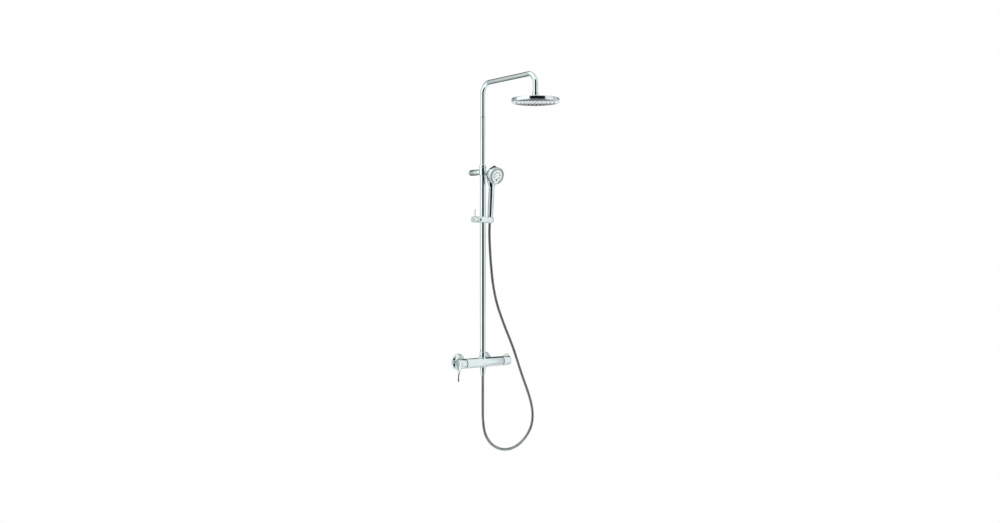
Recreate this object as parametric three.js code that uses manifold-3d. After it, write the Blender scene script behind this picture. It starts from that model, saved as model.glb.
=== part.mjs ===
// Wall-mounted rainfall shower column, in millimetres, +Z up.
// The origin is on the wall, midway between the two water inlets, at the height of the mixer's axis.
// +X runs along the wall, to the right for someone facing it, and the room is on the -Y side.
import * as THREE from "three";
import { mergeVertices } from "three/addons/utils/BufferGeometryUtils.js";
import Module from "manifold-3d";

const wasm = await Module();
wasm.setup();

// Clearances
const GAP = 0.3; // between pieces that rest on each other
const SLIDE_GAP = 0.35; // between a sliding tube and what guides it

// Overall places
const WALL_TO_AXIS = 85; // from the wall to the mixer and riser axis
const INLET_SPACING = 150;
const BRACKET_HEIGHT = 844;
const JOINT_HEIGHT = 1085; // where the arm turns on the riser
const ARM_HEIGHT = 1235; // from the mixer axis to the arm axis
const ARM_REACH = 360; // from the riser axis to the rain head's axis
const ARM_BEND = 48;
const BALL_DROP = 101; // from the arm axis down to the head's ball
const SLIDER_HEIGHT = 632;

// Mixer
const BODY_RADIUS = 21;
const LEFT_OVERHANG = 21; // from the left inlet's axis to the body's lever end
const RIGHT_OVERHANG = 29; // from the right inlet's axis to the body's diverter end
const BODY_LEFT = INLET_SPACING / 2 + LEFT_OVERHANG;
const BODY_RIGHT = INLET_SPACING / 2 + RIGHT_OVERHANG;
const BORE_RADIUS = 17;
const BORE_DEPTH = 40;
const WATERWAY_RADIUS = 6.5;
const SPINDLE_RADIUS = 5;
const SPLINE_RADIUS = 7;
const SEAM_WIDTH = 3.4; // the dark ring between the body and each handle

// Inlets
const UNION_RADIUS = 13.2;
const TAIL_RADIUS = 10.45; // G1/2 thread
const TAIL_LENGTH = 18; // beyond the wall's face
const ROSETTE_RADIUS = 36;
const ROSETTE_DEPTH = 13;
const UNION_FACE = 49; // from the mixer axis to the union's sealing face

// Riser
const LOWER_TUBE_RADIUS = 12.5;
const UPPER_TUBE_RADIUS = 10.5;
const LOWER_TUBE_WALL = 0.8;
const UPPER_TUBE_WALL = 1;
const UPPER_TUBE_OVERLAP = 225; // how far the upper tube reaches into the lower one
const CLAMP_WALL = 3.2;

// Rain head
const HEAD_RADIUS = 100;
const HEAD_HEIGHT = 16;
const BALL_RADIUS = 8.5;
const NOZZLE_RINGS = 5;
const NOZZLE_MARGIN = 20; // from the rim to the outer ring of nozzles
const NOZZLE_PITCH = (HEAD_RADIUS - NOZZLE_MARGIN) / NOZZLE_RINGS;

// Slider and holder
const SLIDER_HALF = 13; // half the height of the slider's bar
const COLLAR_WALL = 5.5;
const CLAMP_END = 57; // from the riser axis to the clamp's outer end
const PIN_PLACE = 43; // from the riser axis to the clamp's pin
const HOLDER_OFFSET = LOWER_TUBE_RADIUS + COLLAR_WALL + 22; // from the riser axis to the holder's cone
const HOLDER_RADIUS = 16.5;
const HOLDER_BORE = 12.3;
const HOLDER_LEAN = THREE.MathUtils.degToRad(5);

// Hand shower, in its holder's upright frame
const HANDLE_RADIUS = 12.6;
const SPRAY_FORWARD = 35; // from the handle's axis to the middle of the face
const SPRAY_HEIGHT = 196; // from the holder's pivot up to the middle of the face
const SPRAY_TILT = THREE.MathUtils.degToRad(11);
const SPRAY_RADIUS = 38;
const SPRAY_DEPTH = 51;
const BUTTON_TRAVEL = 2;

// Hose
const HOSE_RADIUS = 6;
const HOSE_BORE = HOSE_RADIUS + 0.5;
const NUT_RADIUS = 12;

// Sides of the round pieces, each a multiple of four so that a piece keeps its full width
const SIDES = 16;
const BODY_SIDES = 24;
const HEAD_SIDES = 40;

// Colours
const CHROME = { color: 0xd9dfe0, metalness: 1, roughness: 0.08 };
const BRASS = { color: 0xb99b5c, metalness: 1, roughness: 0.35 };
const STEEL = { color: 0xb8bcbe, metalness: 1, roughness: 0.3 };
const RUBBER = { color: 0x1c1f20, metalness: 0, roughness: 0.8 };
const PLASTIC = { color: 0xe9ecec, metalness: 0, roughness: 0.45 };
const GREY = { color: 0x8c9a9b, metalness: 0.2, roughness: 0.4 };
const BLACK = { color: 0x121414, metalness: 0, roughness: 0.35 };

// ---------- Solids ----------

// A closed solid from a geometry, without the slivers that a profile leaves on its axis.
function solid(geometry) {
  const bare = geometry.index ? geometry.toNonIndexed() : geometry.clone();
  for (const name of Object.keys(bare.attributes)) {
    if (name !== "position") bare.deleteAttribute(name);
  }
  const merged = mergeVertices(bare, 1e-4);
  const p = merged.attributes.position;
  const corners = [];
  let volume = 0;
  for (let i = 0; i < merged.index.count; i += 3) {
    const [a, b, c] = [0, 1, 2].map((k) => merged.index.getX(i + k));
    if (a === b || b === c || a === c) continue;
    corners.push(a, b, c);
    const [u, v, w] = [a, b, c].map((k) => new THREE.Vector3().fromBufferAttribute(p, k));
    volume += u.dot(v.cross(w));
  }
  if (volume < 0) corners.reverse();
  const mesh = { numProp: 3, vertProperties: p.array, triVerts: new Uint32Array(corners) };
  return new wasm.Manifold(new wasm.Mesh(mesh));
}

function join(first, ...others) {
  return others.reduce((whole, piece) => whole.add(solid(piece)), solid(first));
}

function cut(whole, ...tools) {
  return tools.reduce((rest, tool) => rest.subtract(solid(tool)), whole);
}

function piece(name, shape, look) {
  const body = shape.isBufferGeometry ? solid(shape) : shape;
  const mesh = body.getMesh();
  const geometry = new THREE.BufferGeometry();
  geometry.setAttribute("position", new THREE.BufferAttribute(mesh.vertProperties, 3));
  geometry.setIndex(new THREE.BufferAttribute(mesh.triVerts, 1));
  const made = new THREE.Mesh(geometry.toNonIndexed(), new THREE.MeshStandardMaterial(look));
  made.geometry.computeVertexNormals();
  made.name = name;
  return made;
}

// A profile of [radius, height] points turned about +Z.
function turned(profile, sides = SIDES) {
  const points = profile.map(([r, z]) => new THREE.Vector2(r, z));
  return new THREE.LatheGeometry(points, sides).rotateX(Math.PI / 2);
}

function rod(radius, low, high, sides = SIDES) {
  return turned([[0, low], [radius, low], [radius, high], [0, high]], sides);
}

function ring(inner, outer, low, high, sides = SIDES) {
  return turned([[inner, low], [outer, low], [outer, high], [inner, high], [inner, low]], sides);
}

function block(x, y, z) {
  const [size, middle] = [x, y, z].reduce(
    (sums, [low, high]) => [[...sums[0], high - low], [...sums[1], (low + high) / 2]],
    [[], []],
  );
  return new THREE.BoxGeometry(...size).translate(...middle);
}

// Turns +Z to +X, and +Z to +Y.
const alongX = (geometry) => geometry.rotateY(Math.PI / 2);
const alongY = (geometry) => geometry.rotateX(-Math.PI / 2);

// An outline in a plane, given a thickness from low to high along +Z.
function slab(shape, low, high, curveSegments = 8) {
  const settings = { depth: high - low, bevelEnabled: false, curveSegments };
  return new THREE.ExtrudeGeometry(shape, settings).translate(0, 0, low);
}

// A path that an extrusion follows by its own stations, so bends get them and straights don't.
class StationPath extends THREE.Curve {
  constructor(points, tangents) {
    super();
    this.points = points;
    this.tangents = tangents;
  }
  station(t) {
    return Math.min(Math.round(t * (this.points.length - 1)), this.points.length - 1);
  }
  getPoint(t, target = new THREE.Vector3()) {
    return target.copy(this.points[this.station(t)]);
  }
  getPointAt(t, target) {
    return this.getPoint(t, target);
  }
  getTangent(t, target = new THREE.Vector3()) {
    return target.copy(this.tangents[this.station(t)]);
  }
  getTangentAt(t, target) {
    return this.getTangent(t, target);
  }
}

function circle(radius, sides, inner = 0) {
  const shape = new THREE.Shape();
  const around = (r) => Array.from({ length: sides }, (_, i) => {
    const angle = (i / sides) * 2 * Math.PI;
    return new THREE.Vector2(r * Math.cos(angle), r * Math.sin(angle));
  });
  shape.setFromPoints(around(radius));
  if (inner > 0) shape.holes.push(new THREE.Path(around(inner)));
  return shape;
}

function group(x, y, z, ...children) {
  const made = new THREE.Group();
  made.position.set(x, y, z);
  made.add(...children);
  return made;
}

// ---------- Wall inlets ----------

// The union screws into the wall's elbow, and its other end seals on the body's flared tail.
function wallUnion(side) {
  const profile = [
    [WATERWAY_RADIUS, UNION_FACE],
    [UNION_RADIUS, UNION_FACE],
    [UNION_RADIUS, WALL_TO_AXIS - 7],
    [TAIL_RADIUS, WALL_TO_AXIS - 7],
    [TAIL_RADIUS, WALL_TO_AXIS + TAIL_LENGTH],
    [WATERWAY_RADIUS, WALL_TO_AXIS + TAIL_LENGTH],
    [WATERWAY_RADIUS, UNION_FACE],
  ];
  return piece(`${side}_wall_union`, alongY(turned(profile)), BRASS);
}

// A pressed cover that hides the hole in the wall.
function wallRosette(side) {
  const hole = UNION_RADIUS + 0.4;
  const wall = WALL_TO_AXIS;
  const front = wall - ROSETTE_DEPTH;
  const profile = [
    [ROSETTE_RADIUS, wall],
    [ROSETTE_RADIUS, wall - 3],
    [ROSETTE_RADIUS - 3, wall - 8],
    [ROSETTE_RADIUS - 13, front + 1],
    [hole, front],
    [hole, front + 2],
    [ROSETTE_RADIUS - 13.5, front + 3],
    [ROSETTE_RADIUS - 5, wall - 6],
    [ROSETTE_RADIUS - 3, wall - 2.5],
    [ROSETTE_RADIUS - 3, wall],
    [ROSETTE_RADIUS, wall],
  ];
  return piece(`${side}_wall_rosette`, alongY(turned(profile, BODY_SIDES)), CHROME);
}

// A hexagon nut that pulls the body's flare onto the union.
function unionNut(side) {
  const lip = UNION_FACE - 5.3;
  const nut = cut(
    solid(alongY(rod(17, lip - 4, UNION_FACE + 17, 6))),
    alongY(rod(11.3, lip - 5, lip + 1)),
    alongY(rod(UNION_RADIUS + GAP, lip, UNION_FACE + 18)),
  );
  return piece(`${side}_union_nut`, nut, CHROME);
}

function inletGasket(side) {
  return piece(`${side}_inlet_gasket`, alongY(ring(7, 12.8, UNION_FACE - 1.7, UNION_FACE - GAP)), RUBBER);
}

function inlet(side, x) {
  return group(x, 0, 0, wallUnion(side), wallRosette(side), unionNut(side), inletGasket(side));
}

// ---------- Mixer ----------

const BOSS_TOP = BODY_RADIUS + 2;
const BOSS_BOTTOM = BODY_RADIUS + 1;
const FLARE = UNION_FACE - 2; // from the mixer axis to the end of the body's flared tails
const NIPPLE_RADIUS = 9;

// One casting: the bar, two flared inlet tails, a seat for the riser and a socket for the hose.
function mixerBody() {
  const half = INLET_SPACING / 2;
  const tail = [[0, 0], [11, 0], [11, FLARE - 3], [12.8, FLARE - 2], [12.8, FLARE], [0, FLARE]];
  const casting = join(
    alongX(rod(BODY_RADIUS, -BODY_LEFT, BODY_RIGHT, BODY_SIDES)),
    alongY(turned(tail)).translate(-half, 0, 0),
    alongY(turned(tail)).translate(half, 0, 0),
    rod(13, 0, BOSS_TOP),
    rod(12, -BOSS_BOTTOM, 0),
  );
  const body = cut(
    casting,
    alongX(rod(BORE_RADIUS, -BODY_LEFT - 1, BORE_DEPTH - BODY_LEFT)),
    alongX(rod(BORE_RADIUS, BODY_RIGHT - BORE_DEPTH, BODY_RIGHT + 1)),
    alongX(rod(WATERWAY_RADIUS, 1 - BODY_LEFT, BODY_RIGHT - 1)),
    alongY(rod(WATERWAY_RADIUS, 0, FLARE + 1)).translate(-half, 0, 0),
    alongY(rod(WATERWAY_RADIUS, 0, FLARE + 1)).translate(half, 0, 0),
    rod(8, 0, BOSS_TOP + 1),
    rod(WATERWAY_RADIUS, -BOSS_BOTTOM - 1, 0),
    rod(NIPPLE_RADIUS + GAP, -BOSS_BOTTOM - 1, GAP - 12),
  );
  return piece("mixer_body", body, CHROME);
}

// A ceramic cartridge fills the bore behind its nut. The spindle goes into its blind hole.
function cartridge(name, look) {
  const profile = [
    [0, BORE_DEPTH - 0.5],
    [BORE_RADIUS - GAP, BORE_DEPTH - 0.5],
    [BORE_RADIUS - GAP, 10.3],
    [SPINDLE_RADIUS + GAP, 10.3],
    [SPINDLE_RADIUS + GAP, 20.6],
    [0, 20.6],
  ];
  return piece(name, turned(profile), look);
}

// Its flange is the dark seam between the body and the handle.
function cartridgeNut(name) {
  const profile = [
    [7.5, GAP - SEAM_WIDTH],
    [BODY_RADIUS - 0.4, GAP - SEAM_WIDTH],
    [BODY_RADIUS - 0.4, -GAP],
    [BORE_RADIUS - GAP, -GAP],
    [BORE_RADIUS - GAP, 10],
    [7.5, 10],
    [7.5, GAP - SEAM_WIDTH],
  ];
  return piece(name, turned(profile), BLACK);
}

function spindle(name, reach) {
  const profile = [
    [0, 20.3],
    [SPINDLE_RADIUS, 20.3],
    [SPINDLE_RADIUS, -8],
    [SPLINE_RADIUS, -8],
    [SPLINE_RADIUS, -reach],
    [0, -reach],
  ];
  return piece(name, turned(profile), BRASS);
}

// A hollow handle: a skirt, a boss on the spindle's spline, and a thick end.
function handleCup(skirt, end) {
  const profile = [
    [BODY_RADIUS, -SEAM_WIDTH],
    [BODY_RADIUS, -end + 1],
    [BODY_RADIUS - 1, -end],
    [0, -end],
    [0, -skirt - 1],
    [SPLINE_RADIUS + GAP, -skirt - 1],
    [SPLINE_RADIUS + GAP, -9],
    [SPLINE_RADIUS + 3.5, -9],
    [SPLINE_RADIUS + 3.5, -skirt],
    [BODY_RADIUS - 3, -skirt],
    [BODY_RADIUS - 3, -SEAM_WIDTH],
    [BODY_RADIUS, -SEAM_WIDTH],
  ];
  return turned(profile, BODY_SIDES);
}

const SKIRT = 26;
const LEVER_BACK = 28.5; // where the lever's plate starts, from the body's end
const LEVER_FRONT = 37.5;
const LEVER_TAIL = 36; // from the mixer axis down to the end of the plate

// The plate's outline: a disc that narrows to a tail. In this frame the wall side is +Y and up is -X.
function leverOutline() {
  const radius = BODY_RADIUS - 0.5;
  const shape = new THREE.Shape();
  shape.moveTo(LEVER_TAIL, -3.6);
  shape.lineTo(LEVER_TAIL, 3.6);
  shape.quadraticCurveTo(LEVER_TAIL - 9, 7, 10, radius * 0.873);
  shape.absarc(0, 0, radius, 1.061, 2 * Math.PI - 1.061, false);
  shape.quadraticCurveTo(LEVER_TAIL - 9, -7, LEVER_TAIL, -3.6);
  return shape;
}

function leverHandle() {
  const plate = slab(leverOutline(), -LEVER_FRONT, -LEVER_BACK, 6);
  const screw = alongY(rod(2.3, SPLINE_RADIUS, BODY_RADIUS + 1, 8)).translate(0, 0, 4 - SKIRT + 4);
  return piece("lever_handle", cut(join(handleCup(SKIRT, LEVER_BACK + 2), plate), screw), CHROME);
}

function leverGrubScrew() {
  const screw = alongY(rod(2, SPLINE_RADIUS + GAP + 0.2, SPLINE_RADIUS + 5, 8)).translate(0, 0, 8 - SKIRT);
  return piece("lever_grub_screw", screw, STEEL);
}

// A thin rod screwed into the plate's tail, with a slightly thicker tip.
function leverRod() {
  const start = LEVER_TAIL + GAP;
  const inner = -LEVER_BACK - 4;
  const outer = inner - 4.5;
  const bend = [
    [start, inner],
    [start + 5, inner - 1],
    [start + 11, outer + 1],
    [start + 16, outer],
    [start + 26, outer],
  ].map(([x, z]) => new THREE.Vector3(x, 0, z));
  const tangents = bend.map((_, i) => {
    const before = bend[Math.max(i - 1, 0)];
    return bend[Math.min(i + 1, bend.length - 1)].clone().sub(before).normalize();
  });
  tangents[0].set(1, 0, 0);
  tangents[4].set(1, 0, 0);
  const settings = { steps: bend.length - 1, bevelEnabled: false, extrudePath: new StationPath(bend, tangents) };
  const stem = new THREE.ExtrudeGeometry(circle(2.8, 8), settings);
  const end = start + 41;
  const tip = turned([[0, start + 25], [2.8, start + 25], [3.4, start + 28], [3.4, end - 1.5], [2.4, end], [0, end]], 8);
  return piece("lever_rod", join(stem, alongX(tip).translate(0, 0, outer)), CHROME);
}

const KNOB_END = 44; // from the body's end
const GRIP_START = 10;
const GRIP_END = KNOB_END - 2;

// The knob has a slot along its top for the grip.
function diverterKnob() {
  const along = [-GRIP_END - GAP, GAP - GRIP_START];
  const slot = block([-BODY_RADIUS - 1, 2 - BODY_RADIUS], [-2.2 - GAP, 2.2 + GAP], along);
  return piece("diverter_knob", cut(solid(handleCup(26, KNOB_END)), slot), CHROME);
}

// A fin along the knob's top, that a thumb pushes and that shows which outlet is open.
function diverterGrip() {
  const foot = BODY_RADIUS - 1.7;
  const side = new THREE.Shape();
  side.moveTo(GRIP_START, foot);
  side.lineTo(GRIP_END, foot);
  side.lineTo(GRIP_END, BODY_RADIUS + 7);
  side.quadraticCurveTo(GRIP_END - 4, BODY_RADIUS + 11, GRIP_END - 9, BODY_RADIUS + 9);
  side.lineTo(GRIP_START, BODY_RADIUS + 0.8);
  const fin = slab(side, -2.2, 2.2, 4);
  fin.applyMatrix4(new THREE.Matrix4().makeBasis(
    new THREE.Vector3(0, 0, -1),
    new THREE.Vector3(-1, 0, 0),
    new THREE.Vector3(0, -1, 0),
  ));
  return piece("diverter_grip", fin, CHROME);
}

// Both ends are drawn in a frame whose -Z points out of the body's end and whose -X points up.
function bodyEnd(sign, x, ...children) {
  const end = group(sign * x, 0, 0, ...children);
  const out = new THREE.Vector3(-sign, 0, 0);
  const down = new THREE.Vector3(0, 0, -1);
  end.setRotationFromMatrix(new THREE.Matrix4().makeBasis(down, out.clone().cross(down), out));
  return end;
}

// ---------- Hose outlet ----------

function hoseOutletNipple() {
  return piece("hose_outlet_nipple", ring(5.5, NIPPLE_RADIUS, -BOSS_BOTTOM - 16, -12), BRASS);
}

function hoseOutletWasher() {
  return piece("hose_outlet_washer", ring(5.5, NIPPLE_RADIUS, -BOSS_BOTTOM - 18, -BOSS_BOTTOM - 16.3), RUBBER);
}

function hoseLowerNut() {
  const top = -BOSS_BOTTOM - GAP;
  const profile = [
    [NIPPLE_RADIUS + GAP, top],
    [NUT_RADIUS, top],
    [NUT_RADIUS, top - 22],
    [NUT_RADIUS - 2.6, top - 35],
    [HOSE_BORE, top - 35],
    [HOSE_BORE, top - 18],
    [NIPPLE_RADIUS + GAP, top - 18],
    [NIPPLE_RADIUS + GAP, top],
  ];
  return piece("hose_lower_nut", turned(profile), CHROME);
}

// ---------- Riser ----------

const LOWER_BORE = LOWER_TUBE_RADIUS - LOWER_TUBE_WALL;
const TUBE_FOOT = BOSS_TOP + 4;
const TUBE_TOP = BRACKET_HEIGHT + 1;

function riserBaseCollar() {
  const low = BOSS_TOP + GAP;
  const profile = [
    [8, low],
    [LOWER_TUBE_RADIUS + 1.3, low],
    [LOWER_TUBE_RADIUS + 1.3, low + 22],
    [LOWER_TUBE_RADIUS + 0.8, low + 22.7],
    [LOWER_TUBE_RADIUS + GAP, low + 22.7],
    [LOWER_TUBE_RADIUS + GAP, TUBE_FOOT - GAP],
    [8, TUBE_FOOT - GAP],
    [8, low],
  ];
  return piece("riser_base_collar", turned(profile), CHROME);
}

function lowerRiserTube() {
  return piece("lower_riser_tube", ring(LOWER_BORE, LOWER_TUBE_RADIUS, TUBE_FOOT, TUBE_TOP), CHROME);
}

// A plastic bush in the top of the lower tube, that the upper tube slides through.
function riserGuideBush() {
  const profile = [
    [UPPER_TUBE_RADIUS + GAP, TUBE_TOP - 30],
    [LOWER_BORE - GAP, TUBE_TOP - 30],
    [LOWER_BORE - GAP, TUBE_TOP + GAP],
    [LOWER_TUBE_RADIUS, TUBE_TOP + GAP],
    [LOWER_TUBE_RADIUS, TUBE_TOP + 3],
    [UPPER_TUBE_RADIUS + GAP, TUBE_TOP + 3],
    [UPPER_TUBE_RADIUS + GAP, TUBE_TOP - 30],
  ];
  return piece("riser_guide_bush", turned(profile), PLASTIC);
}

function upperRiserTube() {
  const inner = UPPER_TUBE_RADIUS - UPPER_TUBE_WALL;
  const foot = TUBE_TOP - UPPER_TUBE_OVERLAP;
  return piece("upper_riser_tube", ring(inner, UPPER_TUBE_RADIUS, foot, JOINT_HEIGHT), CHROME);
}

function riserSeal() {
  const foot = TUBE_TOP - UPPER_TUBE_OVERLAP;
  return piece("riser_seal", ring(UPPER_TUBE_RADIUS + GAP, LOWER_BORE - GAP, foot + 3, foot + 17), RUBBER);
}

function jointRing() {
  const inner = UPPER_TUBE_RADIUS - UPPER_TUBE_WALL;
  return piece("joint_ring", ring(inner, UPPER_TUBE_RADIUS - 0.4, JOINT_HEIGHT + GAP, JOINT_HEIGHT + 1.7), BLACK);
}

// ---------- Wall bracket, in a frame at the riser axis ----------

const CLAMP_OUTER = LOWER_TUBE_RADIUS + GAP + CLAMP_WALL;
const NECK_RADIUS = 11.25;
const NECK_END = WALL_TO_AXIS - 12.5;

function bracketClamp() {
  const profile = [
    [LOWER_TUBE_RADIUS + GAP, -15],
    [CLAMP_OUTER - 0.6, -15],
    [CLAMP_OUTER, -14.4],
    [CLAMP_OUTER, 17.4],
    [CLAMP_OUTER - 0.6, 18],
    [LOWER_TUBE_RADIUS + GAP, 18],
    [LOWER_TUBE_RADIUS + GAP, -15],
  ];
  return piece("bracket_clamp", turned(profile), CHROME);
}

function bracketTopRing() {
  const profile = [
    [UPPER_TUBE_RADIUS + SLIDE_GAP, 18 + GAP],
    [CLAMP_OUTER - 1.5, 18 + GAP],
    [CLAMP_OUTER - 1.5, 30],
    [CLAMP_OUTER - 2.5, 31],
    [UPPER_TUBE_RADIUS + SLIDE_GAP, 31],
    [UPPER_TUBE_RADIUS + SLIDE_GAP, 18 + GAP],
  ];
  return piece("bracket_top_ring", turned(profile), CHROME);
}

// Its near end is hollowed to the clamp's curve, and a grub screw holds its far end in the sleeve.
function bracketNeck() {
  const neck = cut(
    solid(alongY(rod(NECK_RADIUS, CLAMP_OUTER - 6, NECK_END))),
    rod(CLAMP_OUTER + GAP, -20, 20, 32),
    rod(2.3, -NECK_RADIUS - 1, -8, 8).translate(0, NECK_END - 10, 0),
  );
  return piece("bracket_neck", neck, CHROME);
}

function bracketSleeve() {
  const outer = NECK_RADIUS + 2.25;
  const near = WALL_TO_AXIS - 50;
  const profile = [
    [NECK_RADIUS + GAP, near],
    [outer - 0.8, near],
    [outer, near + 0.8],
    [outer, WALL_TO_AXIS],
    [NECK_RADIUS + GAP, WALL_TO_AXIS],
    [NECK_RADIUS + GAP, near],
  ];
  const hole = rod(2.3, -outer - 1, -NECK_RADIUS + 1, 8).translate(0, NECK_END - 10, 0);
  return piece("bracket_sleeve", cut(solid(alongY(turned(profile))), hole), CHROME);
}

function bracketWallPlate() {
  return piece("bracket_wall_plate", alongY(ring(2.8, NECK_RADIUS, WALL_TO_AXIS - 8, WALL_TO_AXIS)), STEEL);
}

function bracketWallScrew() {
  const head = WALL_TO_AXIS - 8 - GAP;
  const profile = [
    [0, head - 3],
    [3, head - 3],
    [4.6, head - 1],
    [4.6, head],
    [2.4, head],
    [2.4, WALL_TO_AXIS + 26],
    [0, WALL_TO_AXIS + 30],
  ];
  return piece("bracket_wall_screw", alongY(turned(profile, 12)), STEEL);
}

function bracketGrubScrew() {
  const screw = rod(2, -NECK_RADIUS - 2, -8 - GAP, 8).translate(0, NECK_END - 10, 0);
  return piece("bracket_grub_screw", screw, STEEL);
}

// ---------- Arm ----------

const BALL_HEIGHT = ARM_HEIGHT - BALL_DROP;
const ARM_FOOT = JOINT_HEIGHT + 2;
const ARM_END = BALL_HEIGHT + 19;

// The spigot is fixed in the arm and turns in the top of the riser.
function armSpigot() {
  const outer = UPPER_TUBE_RADIUS - UPPER_TUBE_WALL - GAP;
  return piece("arm_spigot", ring(outer - 1.7, outer, JOINT_HEIGHT - 27, JOINT_HEIGHT + 27), BRASS);
}

// One tube: up from the riser, over two quarter bends and down to the head.
function showerArm() {
  const points = [new THREE.Vector3(0, 0, ARM_FOOT)];
  const tangents = [new THREE.Vector3(0, 0, 1)];
  const steps = 7;
  const turn = (y, z, from) => {
    for (let i = 0; i <= steps; i += 1) {
      const angle = from - (i / steps) * (Math.PI / 2);
      points.push(new THREE.Vector3(0, y - ARM_BEND * Math.cos(angle), z + ARM_BEND * Math.sin(angle)));
      tangents.push(new THREE.Vector3(0, -Math.sin(angle), -Math.cos(angle)));
    }
  };
  turn(-ARM_BEND, ARM_HEIGHT - ARM_BEND, Math.PI);
  turn(ARM_BEND - ARM_REACH, ARM_HEIGHT - ARM_BEND, Math.PI / 2);
  points.push(new THREE.Vector3(0, -ARM_REACH, ARM_END));
  tangents.push(new THREE.Vector3(0, 0, -1));
  const path = new StationPath(points, tangents);
  const settings = { steps: points.length - 1, bevelEnabled: false, extrudePath: path };
  const section = circle(UPPER_TUBE_RADIUS, SIDES, UPPER_TUBE_RADIUS - UPPER_TUBE_WALL);
  return piece("shower_arm", new THREE.ExtrudeGeometry(section, settings), CHROME);
}

// ---------- Rain head, in a frame at the ball's centre ----------

const PLATE_TOP = -BALL_RADIUS - 0.5;
const HEAD_BOTTOM = PLATE_TOP - HEAD_HEIGHT;
const RIM_WALL = 2.5;

function headCollar() {
  return piece("head_collar", ring(8, UPPER_TUBE_RADIUS + 2.2, 15.5, 19 - GAP), CHROME);
}

const LIP_ANGLE = THREE.MathUtils.degToRad(36); // how far below its middle the ball is held
const BALL_NECK = 4.5;

function ballNut() {
  const lip = -BALL_RADIUS * Math.sin(LIP_ANGLE);
  const lipRadius = BALL_RADIUS * Math.cos(LIP_ANGLE) + GAP;
  const outer = BALL_RADIUS + 4;
  const profile = [
    [lipRadius, lip],
    [outer - 0.5, lip],
    [outer, lip + 0.5],
    [outer, 15.2],
    [7, 15.2],
    [7, 12],
    [BALL_RADIUS + 2.2, 12],
    [BALL_RADIUS + 2.2, 0.4],
    [BALL_RADIUS + 0.4, -0.2],
    [BALL_RADIUS - 0.2, lip + 2],
    [lipRadius, lip],
  ];
  return piece("ball_nut", turned(profile, 20), CHROME);
}

// A cupped seal that lies on the ball and tips with it.
function ballSeat() {
  const at = (reach, degrees) => {
    const angle = THREE.MathUtils.degToRad(degrees);
    return [reach * Math.cos(angle), reach * Math.sin(angle)];
  };
  const inner = BALL_RADIUS + SLIDE_GAP;
  const outer = inner + 1.2;
  const profile = [
    at(inner, 17),
    at(outer, 15),
    at(outer, 30),
    at(outer, 45),
    at(inner, 52),
    at(inner, 34.5),
    at(inner, 17),
  ];
  return piece("ball_seat", turned(profile), RUBBER);
}

// A hollow ball on a neck, with a flange under the shell's plate.
function headBall() {
  const bore = 2.5;
  const reach = Math.acos(bore / BALL_RADIUS);
  const neck = -Math.acos(BALL_NECK / BALL_RADIUS);
  const profile = [];
  for (let i = 0; i <= 6; i += 1) {
    const angle = neck + ((reach - neck) * i) / 6;
    profile.push([BALL_RADIUS * Math.cos(angle), BALL_RADIUS * Math.sin(angle)]);
  }
  const flange = PLATE_TOP - 3 - GAP;
  profile.push([bore, flange - 3], [11, flange - 3], [11, flange], [BALL_NECK, flange], profile[0]);
  return piece("head_ball", turned(profile, 20), BRASS);
}

function headShell() {
  const profile = [
    [5, PLATE_TOP],
    [HEAD_RADIUS - 2, PLATE_TOP],
    [HEAD_RADIUS, PLATE_TOP - 2],
    [HEAD_RADIUS, HEAD_BOTTOM + 0.6],
    [HEAD_RADIUS - 0.6, HEAD_BOTTOM],
    [HEAD_RADIUS - RIM_WALL, HEAD_BOTTOM],
    [HEAD_RADIUS - RIM_WALL, PLATE_TOP - 3],
    [5, PLATE_TOP - 3],
    [5, PLATE_TOP],
  ];
  return piece("head_shell", turned(profile, HEAD_SIDES), CHROME);
}

// The nozzles' places: one in the middle, then rings of 6, 12, 18 and so on.
function nozzlePlaces() {
  const places = [[0, 0]];
  for (let turn = 1; turn <= NOZZLE_RINGS; turn += 1) {
    for (let i = 0; i < 6 * turn; i += 1) {
      const angle = (i / (6 * turn)) * 2 * Math.PI;
      const reach = turn * NOZZLE_PITCH;
      places.push([reach * Math.cos(angle), reach * Math.sin(angle)]);
    }
  }
  return places;
}

const MAT_FACE = HEAD_BOTTOM + 3; // the mat lies just above the face plate
const NOZZLE_RADIUS = 1.9;

function nozzleMat() {
  const mat = rod(HEAD_RADIUS - 10, MAT_FACE, MAT_FACE + 2, HEAD_SIDES);
  const tip = HEAD_BOTTOM - 1.5;
  const root = MAT_FACE + 1;
  const nozzles = nozzlePlaces().map(([x, y]) => (
    turned([[0, tip], [1.3, tip], [NOZZLE_RADIUS, root], [0, root]], 6).translate(x, y, 0)
  ));
  return piece("nozzle_mat", join(mat, ...nozzles), RUBBER);
}

function facePlate() {
  const shape = circle(HEAD_RADIUS - RIM_WALL - GAP, HEAD_SIDES);
  for (const [x, y] of nozzlePlaces()) {
    const hole = circle(NOZZLE_RADIUS + GAP, 6).getPoints().map((p) => p.add(new THREE.Vector2(x, y)));
    shape.holes.push(new THREE.Path(hole.slice(0, 6)));
  }
  return piece("face_plate", slab(shape, HEAD_BOTTOM, HEAD_BOTTOM + 2.5), CHROME);
}

// ---------- Slider, in a frame at the riser axis ----------

const COLLAR_OUTER = LOWER_TUBE_RADIUS + COLLAR_WALL;
const BUSH_OUTER = LOWER_TUBE_RADIUS + 2.1;
const CLAMP_START = COLLAR_OUTER + 12.3;
const SPIGOT_RADIUS = 6;
const HOLDER_START = COLLAR_OUTER + 1;
const SPIGOT_END = HOLDER_OFFSET - HOLDER_RADIUS - 1;
const SCREW_RADIUS = 4;
const BAR_EDGE = 5; // the radius of the slider's long edges

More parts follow.
